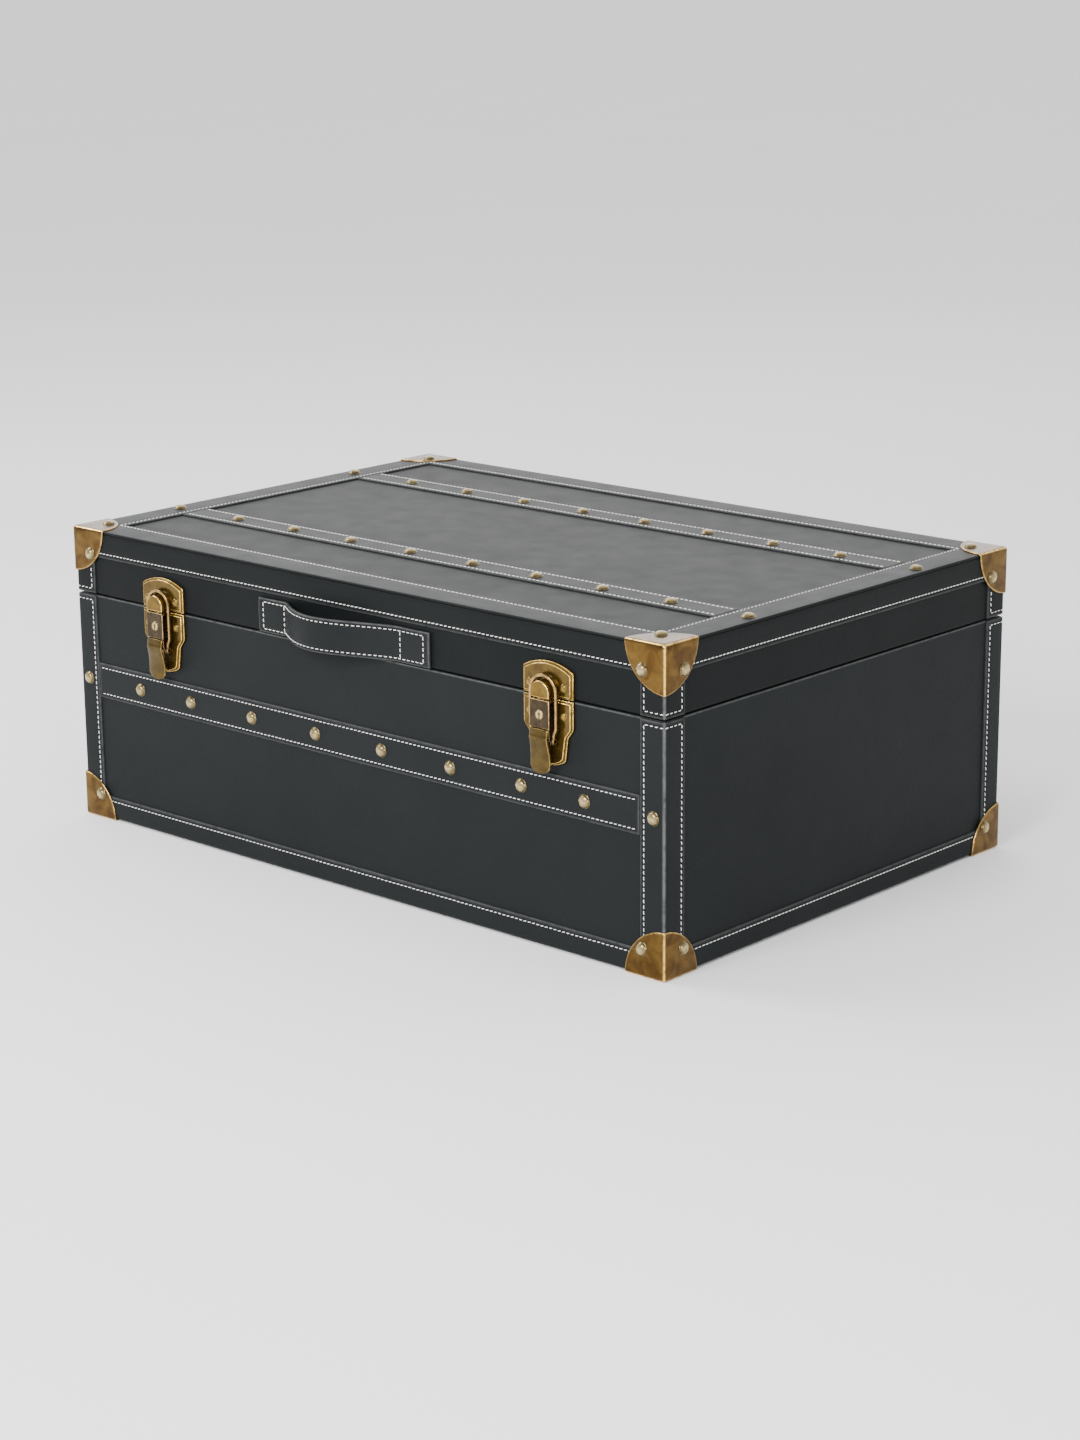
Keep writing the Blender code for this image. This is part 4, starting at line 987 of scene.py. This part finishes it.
PLATE_STEPS = (  # (inset, p, wear and painted highlight): a flange, a step and a raised face
    (0, 0.0, 0), (0, 0.0019, 0), (0.00015, 0.00235, 0.8), (0.0004, 0.0025, 1), (0.0006, 0.0025, 0),
    (0.0013, 0.0025, 0), (0.0016, 0.0027, 0), (0.0018, 0.0032, 0), (0.0019, 0.0038, 0.5),
    (0.0021, 0.00415, 1), (0.0024, 0.0043, 0.7), (0.0027, 0.0043, 0), (0.0031, 0.0043, 0),
)


def pressed(outline, place):
    """A latch plate pressed from sheet, with the steps of PLATE_STEPS round its edge."""
    rings = [(outline(inset), p) for inset, p, _ in PLATE_STEPS]
    return plate(rings, place, [wear_and_light for *_, wear_and_light in PLATE_STEPS])


def lever_tongue(place):
    """The tongue: a bent sheet that narrows, then widens to a round lip."""
    keys = np.array([  # (p, v, half width) down the tongue
        (0.0130, -0.0225, 0.0096), (0.0133, -0.0257, 0.0096), (0.0154, -0.0267, 0.0103),
        (0.0158, -0.0285, 0.0103), (0.0162, -0.0315, 0.0102), (0.0167, -0.0346, 0.0102),
        (0.0161, -0.0385, 0.0102), (0.0150, -0.0440, 0.0105), (0.0140, -0.0500, 0.0110),
        (0.0136, -0.0545, 0.0113), (0.0136, -0.0580, 0.0114),
    ])
    stations = []
    for t in np.linspace(0, len(keys) - 1, 44):
        i = min(int(t), len(keys) - 2)
        f = t - i
        a, b, c, d = keys[[max(i - 1, 0), i, i + 1, min(i + 2, len(keys) - 1)]]
        square, cube = 2 * a - 5 * b + 4 * c - d, 3 * b - a - 3 * c + d
        stations.append(0.5 * (2 * b + (c - a) * f + square * f * f + cube * f ** 3))
    for i in range(1, 15):
        share = math.sin(math.pi / 2 * i / 14.2)
        half = 0.0114 * math.sqrt(max(0.0, 1 - share ** 2.4))
        stations.append((0.0136 + 0.0007 * share, -0.0580 - 0.0085 * share, half))
    thick = 0.0018
    section = [  # (share of the half width, share of the thickness)
        (-1.0, 0.45), (-0.985, 0.85), (-0.93, 1.0), (-0.5, 1.06), (0.0, 1.09), (0.5, 1.06), (0.93, 1.0),
        (0.985, 0.85), (1.0, 0.45), (0.985, 0.12), (0.93, 0.0), (-0.93, 0.0), (-0.985, 0.12),
    ]
    path = [(p, v) for p, v, _ in stations]
    rings = []
    for k, (p, v, half) in enumerate(stations):
        along = direction(path, k)
        ring = [(a * half, (b - 1.0) * thick) for a, b in section]
        rings.append([place(u, p - along.y * depth, v + along.x * depth) for u, depth in ring])
    # The tongue's edges are marked pale: worn brass and painted highlight lines.
    wear_and_light = [0.8 if abs(a) > 0.95 and b > 0.4 else 0.0 for a, b in section]
    return solid_of(rings, np.tile(wear_and_light, len(stations)))


def slab(u_low, u_high, v_low, v_high):
    """A rectangle's outline."""
    return [(u_low, v_low), (u_high, v_low), (u_high, v_high), (u_low, v_high)]


def build_latch(name, side):
    place = latch_place(side)
    flank = side_on(place)
    lever = f"lever_{name}"

    def brass(label, parts, look, body, node):
        label = f"{label}_{name}"
        piece(label, joined(label, parts), look, body, [f"{node}_{name}"], 50)

    def rivets(label, v, body, node):
        places = [(place(u, PLATE_FACE, v), (1, 0, 0), (0, -1, 0)) for u in (-0.0195, 0.0195)]
        mesh = many("rivets", SMALL_RIVET, places)
        piece(f"{label}_{name}", mesh, PLATE_BRASS, body, [f"{node}_{name}"], 60)

    head = [(-HOOK_RADIUS, 0.0014), (HOOK_RADIUS, 0.0014), *arc((0, HOOK_CENTRE_V), HOOK_RADIUS, 0, 180, 28)]
    hook = rounded_block(head, 0.0025, LEVER_FACE, 0.0009, place)
    brass("latch_upper_brass", [pressed(upper_outline, place)], PLATE_BRASS, "lid", "latch_upper_plate")
    brass("latch_hook_brass", [hook], HOOK_BRASS, "lid", "latch_upper_plate")
    rivets("latch_upper_rivets", 0.0105, "lid", "latch_upper_plate")

    sheet = 0.0016  # thickness of the ears and of the lever's side walls
    ear = [(0.0015, -0.0165), *arc(LEVER_PIVOT, 0.0030, -50, 115, 16), (0.0015, -0.0080)]
    parts = [pressed(lower_outline, place)]
    parts += [rounded_block(ear, u, u + sheet, 0.0003, flank, both=True) for u in (-0.0082, 0.0066)]
    brass("latch_lower_brass", parts, PLATE_BRASS, "base", "latch_lower_plate")
    rivets("latch_lower_rivets", -0.0145, "base", "latch_lower_plate")

    case = slab(-LEVER_HALF, LEVER_HALF, -0.0256, -0.0004)
    wall = [
        (0.0056, -0.0300), (0.0057, -0.0355), *arc(LOOP_PIVOT, 0.0030, 200, 300, 8), (0.0108, -0.0398),
        (0.0128, -0.0340), (0.0135, -0.0260), (0.0135, -0.0040), (0.0115, -0.0018),
        *arc(LEVER_PIVOT, 0.0036, 60, 180, 10),
    ]
    inner = slab(0.0008 - WALL_HALF, WALL_HALF - 0.0008, -0.0250, -0.0088)
    ring = arc((0, PLUG_V), 0.0048, 0, 350, 35)
    parts = [rounded_block(case, 0.0128, LEVER_FACE, 0.0006, place)]
    for u in (-WALL_HALF, WALL_HALF - sheet):
        parts.append(rounded_block(wall, u, u + sheet, 0.00025, flank, both=True))
    parts.append(rounded_block(inner, LEVER_PIVOT[0], 0.0130, 0.0005, place, both=True))
    parts.append(rounded_block(ring, LEVER_FACE - 0.0002, LEVER_FACE + 0.0002, 0.00018, place))
    brass("latch_lever_brass", parts, SHADED_LEVER_BRASS, lever, "latch_lever")
    brass("latch_tongue_brass", [lever_tongue(place)], TONGUE_BRASS, lever, "latch_lever")

    reach, foot_reach = LOOP_INNER + LOOP_BAR / 2, LOOP_FOOT + LOOP_BAR / 2
    arm = [
        (foot_reach, LOOP_PIVOT[1] + 0.0008), (foot_reach, -0.0322), (foot_reach + 0.0002, -0.0308),
        (foot_reach + 0.0007, -0.0297), (reach - 0.0007, -0.0274), (reach - 0.0002, -0.0263),
        (reach, -0.0250), (reach, -0.010),
    ]
    path = arm + arc((0, HOOK_CENTRE_V), reach, 0, 180, 40) + [(-u, v) for u, v in reversed(arm)]
    parts = [bar(path, LOOP_BAR, LOOP_PIVOT[0], place, 0.0012)]
    for low, high in ((-LOOP_FOOT - LOOP_BAR, -LOOP_FOOT), (LOOP_FOOT, LOOP_FOOT + LOOP_BAR)):
        parts.append(barrel(LOOP_PIVOT, 0.0029, low, high, place))
    brass("latch_loop_brass", parts, LOOP_BRASS, f"loop_{name}", "latch_loop")

    disc = arc((0, PLUG_V), 0.0040, 0, 350, 35)
    plug = rounded_block(disc, 0.0100, LEVER_FACE + 0.0004, 0.0004, place)
    brass("lock_plug_brass", [plug], PLUG_BRASS, f"plug_{name}", "lock_plug")
    # Painted shade: the keyhole slot and the notch below it are dark pieces standing for the shade inside the
    # holes.
    slot = arc((0.0003, PLUG_V + 0.0012), 0.0010, -50, 230, 14)
    slot += [(-0.0003, PLUG_V - 0.0038), (0.0009, PLUG_V - 0.0038)]
    hole = rounded_block(slot, LEVER_FACE, LEVER_FACE + 0.00045, 0.00004, place)
    brass("lock_keyhole", [hole], KEYHOLE_SHADOW, f"plug_{name}", "lock_plug")
    notch = slab(-0.0004, 0.0010, PLUG_V - 0.0064, PLUG_V - 0.0050)
    hole = rounded_block(notch, LEVER_FACE - 0.0002, LEVER_FACE + 0.00005, 0.00003, place)
    brass("lock_notch", [hole], KEYHOLE_SHADOW, lever, "latch_lever")


# ---- hinges --------------------------------------------------------------------------------------------
def build_hinge(name, side):
    def place(u, p, v):
        return (side * HINGE_X + u, HINGE_Y + p, SEAM_Z + v)

    half, leaf, radius, thick, corner = 0.030, 0.028, 0.0034, 0.0012, 0.003
    screw = dome(0.0036, 0.0015, 20)
    for label, body, way, knuckles in (
        ("lower", "base", -1, ((-half, -0.0102), (0.0102, half))), ("upper", "lid", 1, ((-0.0098, 0.0098),))
    ):
        near, far = way * (radius + 0.0006), way * (radius + leaf)
        turn = 0 if way > 0 else 180
        outline = [(-way * half, near), (way * half, near)]
        for u, start in ((way, 0), (-way, 90)):
            centre = (u * (half - corner), far - way * corner)
            outline += arc(centre, corner, turn + start, turn + start + 90, 6)
        parts = [rounded_block(outline, 0.0, thick, 0.0004, place)]
        for start, end in knuckles:
            tongue = slab(start + 0.0002, end - 0.0002, *sorted((0.0, near + way * 0.0012)))
            parts.append(rounded_block(tongue, 0.0, thick, 0.0002, place))
            parts.append(barrel((HINGE_AXIS_P, 0), radius, start, end, place))
        node = [f"hinge_{label}_leaf_{name}"]
        piece(f"hinge_{label}_brass_{name}", joined("leaf", parts), PLATE_BRASS, body, node, 50)
        v = (near + far) / 2
        places = [(place(u, thick, v), (1, 0, 0), (0, 1, 0)) for u in (-half * 0.68, 0, half * 0.68)]
        heads = many("heads", screw, places)
        piece(f"hinge_{label}_rivets_{name}", heads, NAIL_BRASS, body, node, 60)


# ---- handle --------------------------------------------------------------------------------------------
HANDLE_ENDS = (-0.1142, 0.1085)
HANDLE_LENGTH = HANDLE_ENDS[1] - HANDLE_ENDS[0]
HANDLE_GRIP = (-0.077, 0.071)
HANDLE_Z = 0.2490
HANDLE_WIDTH = 0.033
HANDLE_THICK = 0.0036
HANDLE_BOW = 0.0235
HANDLE_STITCH = 0.0036  # how far in from the strap's long edges its stitching runs
HANDLE_END_ROW = 0.0070  # how far in from its ends
HANDLE_LINE = (-0.0014, -0.0007, 0.0, 0.0007, 0.0014)  # stops across a row's groove
HANDLE_ROWS = (HANDLE_ENDS[0] + HANDLE_END_ROW, HANDLE_GRIP[0] - 0.0016, HANDLE_GRIP[1] + 0.0016,
               HANDLE_ENDS[1] - HANDLE_END_ROW)


def handle_stand_off(x):
    start, end = HANDLE_GRIP
    share = (x - start) / (end - start)
    if not 0 < share < 1:
        return 0.0
    return HANDLE_BOW * math.sin(math.pi * share ** 0.75) ** 1.5


def handle_normal(x):
    slope = (handle_stand_off(x + 0.0005) - handle_stand_off(x - 0.0005)) / 0.001
    return Vector((-slope, -1.0, 0.0)).normalized()


def handle_point(x, depth, z):
    """The point at a depth outside the strap's back, where that back passes x."""
    return Vector((x, LATCH_Y - handle_stand_off(x), z)) + handle_normal(x) * depth


def build_handle():
    """A doubled strap with sewn edges: flat at both ends, bowed out between them."""
    rows = [x - HANDLE_ENDS[0] for x in HANDLE_ROWS]
    close = [row + d for row in rows for d in HANDLE_LINE]
    spaced = [s for s in cuts(HANDLE_LENGTH, 0.0019) if min(abs(s - c) for c in close) > 0.0004]
    stations = sorted(spaced + close)
    stops = EDGE_STOPS + [HANDLE_STITCH + d for d in HANDLE_LINE]
    across = stops + [HANDLE_WIDTH * f for f in (0.27, 0.4, 0.5, 0.6, 0.73)]
    across += [HANDLE_WIDTH - v for v in reversed(stops)]
    low = HANDLE_Z - HANDLE_WIDTH / 2
    top, bottom = np.zeros((2, len(stations), len(across), 3))
    wear_and_light = np.zeros(top.shape[:2])
    for i, j in np.ndindex(wear_and_light.shape):
        s, a = stations[i], across[j]
        x = s + HANDLE_ENDS[0]
        edge_a, edge_s = min(a, HANDLE_WIDTH - a), min(s, HANDLE_LENGTH - s)
        rise = float(min(edge_rise(edge_a), edge_rise(edge_s)))
        groove = 0.0
        if rows[0] - 0.001 < s < rows[3] + 0.001:
            groove = math.exp(-((edge_a - HANDLE_STITCH) / 0.0008) ** 2)
        if HANDLE_STITCH < a < HANDLE_WIDTH - HANDLE_STITCH:
            groove = max([groove] + [math.exp(-((s - row) / 0.0009) ** 2) for row in rows])
        plump = 0.0004 * math.sin(math.pi * a / HANDLE_WIDTH)
        front = HANDLE_THICK - 0.0004 - 0.0013 * (1 - rise) - 0.0005 * groove + plump
        z = low + a + 0.0004 * noise.noise(Vector((x * 30, 1.5, 4.0)))
        top[i, j] = handle_point(x, front, z)
        bottom[i, j] = handle_point(x, 0.0006 * (1 - rise), z)
        # Pale edges on the strap: partly worn edges, and partly a painted highlight line.
        wear_and_light[i, j] = 0.6 * math.exp(-((min(edge_a, edge_s) - 0.0006) / 0.0006) ** 2)
    mesh = grid_solid("handle", top, bottom, wear_and_light=wear_and_light)
    piece("handle_leather", mesh, HANDLE_LEATHER, "lid", ["handle_strap"], 60)

    samples = np.linspace(HANDLE_ROWS[0], HANDLE_ROWS[3], 801)
    bows = [handle_stand_off(x) for x in samples]
    length = np.concatenate([[0.0], np.cumsum(np.hypot(np.diff(samples), np.diff(bows)))])
    count = round(length[-1] / 0.0054)
    depth = HANDLE_THICK - 0.00025
    ends = (low + HANDLE_STITCH, low + HANDLE_WIDTH - HANDLE_STITCH)
    places = []
    for i in range(count):
        x = float(np.interp(length[-1] * (i + 0.5) / count, length, samples))
        normal = handle_normal(x)
        places += [(handle_point(x, depth, z), (-normal.y, normal.x, 0.0), normal) for z in ends]
    for x in HANDLE_ROWS:
        y = LATCH_Y - depth
        places += stitch_row((x, y, ends[0]), (x, y, ends[1]), (0, -1, 0))
    piece("handle_stitching", many("thread", STITCH, places), THREAD, "lid", ["handle_strap"], 60)


# ---- inside: lining, braid and ribbon stays -----------------------------------------------------------
def lining_tray(name, z_open, z_shut):
    """Cloth glued to the inside of the boards: a tray with soft corners, slightly uneven."""
    way = 1 if z_open > z_shut else -1
    corners = [(LINING_INSET, z_open), (LINING_INSET, z_shut), (LINING_INSET + 0.034, z_shut)]
    path = rounded_path(corners, 0.004, 5)
    wall = ring_shell(f"{name}_walls", path, 0.0007 * way, 0.008, 0.00018)
    floor = panel(f"{name}_middle", LINING_INSET + 0.024, z_shut + 0.0004 * way, -0.0007 * way, 0.0002, 0.01)
    return wall, floor


def build_inside():
    for body, way in (("base", 1), ("lid", -1)):
        low, high = (corner[2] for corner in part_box(f"{body}_lining"))
        z_open, z_shut = (high, low + 0.0009) if way > 0 else (low, high - 0.0009)
        wall, floor = lining_tray(body, z_open, z_shut)
        braid = rim_braid(z_open - way * 0.0035)
        node = [f"{body}_lining"]
        piece(f"{body}_lining_walls", wall, LINING, body, node)
        piece(f"{body}_lining_middle", floor, LINING, body, node)
        piece(f"{body}_rim_braid", braid, BRAID, body, node, 80)


def rim_braid(z):
    """A twisted braid glued round the top of the lining."""
    rope = []
    for k in range(16):
        angle = math.radians(22.5 * k - 180)
        rope.append((LINING_INSET + 0.0008 + 0.0011 * math.cos(angle), z + 0.0024 * math.sin(angle)))
    samples = ring_samples(0.003)
    points = ring_grid(samples, rope)
    for i, sample in enumerate(samples):
        twist = math.sin(i * 1.3)
        points[i] += (0, 0, 0.00025 * twist)
        points[i] -= ring_outward(sample) * 0.0002 * abs(twist)
    rows, columns = points.shape[:2]
    faces = []
    for i in range(rows):
        a, b = i * columns, (i + 1) % rows * columns
        for j in range(columns):
            k = (j + 1) % columns
            faces.append((a + j, b + j, b + k, a + k))
    return merge_close(mesh_of("braid", points.reshape(-1, 3), faces))


STAY_X = 0.3655
STAY_RADIUS = 0.300  # from the lid's axis to the ribbon's fixings
STAY_DROP = -0.0365  # the lower fixing, from the seam
STAY_RISE = 0.0305  # the upper fixing, from the seam
STAY_TAIL = 0.012  # the length at each end that does not bend
STAY_HALF = 0.009  # half the ribbon's width
LID_ANGLE = math.radians(100)


def turned(point, angle):
    y, z = point
    return y * math.cos(angle) + z * math.sin(angle), z * math.cos(angle) - y * math.sin(angle)


def smooth_share(z):
    low, high = STAY_DROP + STAY_TAIL, STAY_RISE - STAY_TAIL
    share = min(1.0, max(0.0, (z - low) / (high - low)))
    return share * share * (3 - 2 * share)


def folded(point):
    """Where a point of the taut ribbon lies with the lid shut."""
    low, high = 0.0, 1.0
    for _ in range(44):
        share = (low + high) / 2
        if smooth_share(turned(point, -share * LID_ANGLE)[1]) > share:
            low = share
        else:
            high = share
    return turned(point, -low * LID_ANGLE)


def build_stays():
    """Ribbons that stop the lid, drawn as the taut ribbon folds between base and lid with the lid shut."""
    axis_y = HINGE_Y + HINGE_AXIS_P
    lower = Vector((-STAY_RADIUS, STAY_DROP))
    upper = Vector(turned((-STAY_RADIUS, STAY_RISE), LID_ANGLE))
    along = (upper - lower).normalized()
    across = Vector((-along.y, along.x))
    for name, side in SIDES:
        top, bottom = [], []
        for i in range(97):
            centre = lower + (upper - lower) * (i / 96)
            row_a, row_b = [], []
            for j in range(9):
                share = j / 4 - 1
                y, z = folded(centre + across * STAY_HALF * share)
                half = 0.00045 - 0.0002 * abs(share) ** 4
                at = (axis_y + y, SEAM_Z + z)
                row_a.append((side * STAY_X + half, *at))
                row_b.append((side * STAY_X - half, *at))
            top.append(row_a)
            bottom.append(row_b)
        mesh = grid_solid("stay", np.array(top), np.array(bottom))
        ribbon = piece(f"lid_stay_cloth_{name}", mesh, RIBBON, None, [f"lid_stay_ribbon_{name}"])
        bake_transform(ribbon)
        for body, z in (("base", STAY_DROP + 0.005), ("lid", STAY_RISE - 0.005)):
            at = (side * (STAY_X - 0.0005), axis_y - STAY_RADIUS, SEAM_Z + z)
            tack = many("tack", dome(0.0042, 0.0012, 20, 0.0002), [(at, (0, 1, 0), (-side, 0, 0))])
            piece(f"{body}_stay_tack_{name}", tack, NAIL_BRASS, body, (), 60)


# ---- carried-over nodes ----------------------------------------------------------------------------------
def dress_frame():
    """Gives the CAD pieces that stay in view their finished materials."""
    for name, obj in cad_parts.items():
        if name.endswith("_board"):
            look = BOARD
        elif "_pin_" in name:
            look = STEEL
        else:
            continue
        obj.data.materials.clear()
        obj.data.materials.append(look)


# ---- camera, floor and lights ------------------------------------------------------------------------------
def build_camera():
    azimuth, elevation, roll = math.radians(42.257), math.radians(15.385), math.radians(-0.514)
    back = Vector((math.sin(azimuth) * math.cos(elevation), -math.cos(azimuth) * math.cos(elevation),
                   math.sin(elevation)))
    right = Vector((math.cos(azimuth), math.sin(azimuth), 0))
    up = back.cross(right)
    tilted_right = right * math.cos(roll) + up * math.sin(roll)
    tilted_up = -right * math.sin(roll) + up * math.cos(roll)
    camera = bpy.data.cameras.new("camera")
    camera.lens = 76.86
    camera.sensor_width = 36
    camera.clip_start = 0.05
    obj = bpy.data.objects.new("camera", camera)
    bpy.context.scene.collection.objects.link(obj)
    turn = Matrix((tilted_right, tilted_up, back)).transposed()
    obj.matrix_world = Matrix.Translation((1.9706, -2.1565 + MID_Y, 0.9165)) @ turn.to_4x4()
    bpy.context.scene.camera = obj


def add_light(name, place, size, power, aim=(0, 0, 0.15)):
    light = bpy.data.lights.new(name, "AREA")
    light.shape = "RECTANGLE"
    light.size, light.size_y = size
    light.energy = power
    obj = bpy.data.objects.new(name, light)
    bpy.context.scene.collection.objects.link(obj)
    obj.location = place
    obj.rotation_euler = (Vector(aim) - Vector(place)).to_track_quat("-Z", "Y").to_euler()


def build_studio():
    mesh = bpy.data.meshes.new("floor")
    mesh.from_pydata([(-30, -30, 0), (30, -30, 0), (30, 30, 0), (-30, 30, 0)], [], [(0, 1, 2, 3)])
    look = Look("floor_paper", Specular_IOR_Level=0.0)
    tone = look.mix(look.noise(1.5), (0.84, 0.84, 0.84), (0.87, 0.87, 0.87))
    look.finish(tone, look.spread(look.noise(30.0), 0.3, 0.7, 0.9, 1.0))
    mesh.materials.append(look.material)
    floor = bpy.data.objects.new("floor", mesh)
    bpy.context.scene.collection.objects.link(floor)
    build_sky((-0.65, 0.72, 0.25), 1.0, 2.2)
    add_light("key", (0.5, -3.1, 1.9), (1.8, 1.4), 170.0)
    add_light("left", (-1.9, -0.8, 2.1), (1.2, 1.2), 45.0)
    add_light("right", (2.9, -1.9, 0.9), (1.2, 1.0), 45.0)
    add_light("back", (-2.1, 2.4, 1.75), (2.4, 0.9), 12.0, (0.2, -0.2, 0.3))


def build_sky(towards, dim, bright):
    """A plain white studio that is brighter on one side."""
    world = bpy.data.worlds.new("studio")
    bpy.context.scene.world = world
    world.use_nodes = True
    tree = world.node_tree
    ray = add_node(tree, "ShaderNodeTexCoord", "Generated", {})
    facing = add_node(tree, "ShaderNodeVectorMath", "Value", {0: ray, 1: towards}, operation="DOT_PRODUCT")
    inputs = {"Value": facing, "From Min": -0.1, "From Max": 0.9, "To Min": dim, "To Max": bright}
    strength = add_node(tree, "ShaderNodeMapRange", "Result", inputs, interpolation_type="SMOOTHSTEP")
    background = tree.nodes["Background"]
    background.inputs["Color"].default_value = (1.0, 1.0, 1.0, 1.0)
    tree.links.new(strength, background.inputs["Strength"])


build_camera()
build_studio()
build_covers()
build_bindings()
build_corner_strips()
build_straps()
build_brass_corners()
for side_name, side_sign in SIDES:
    build_latch(side_name, side_sign)
    build_hinge(side_name, side_sign)
build_handle()
build_inside()
build_stays()
for label, node in (("base", "front_strap"), ("lid", "lid_strap_front")):
    piece(f"{label}_nails", many("nails", NAIL, nails[label]), NAIL_BRASS, label, [node], 60)
for label, node in (("base", "front_strap"), ("lid", "lid_strap_front")):
    piece(f"{label}_stitching", many("thread", STITCH, stitches[label]), THREAD, label, [node], 60)
dress_frame()
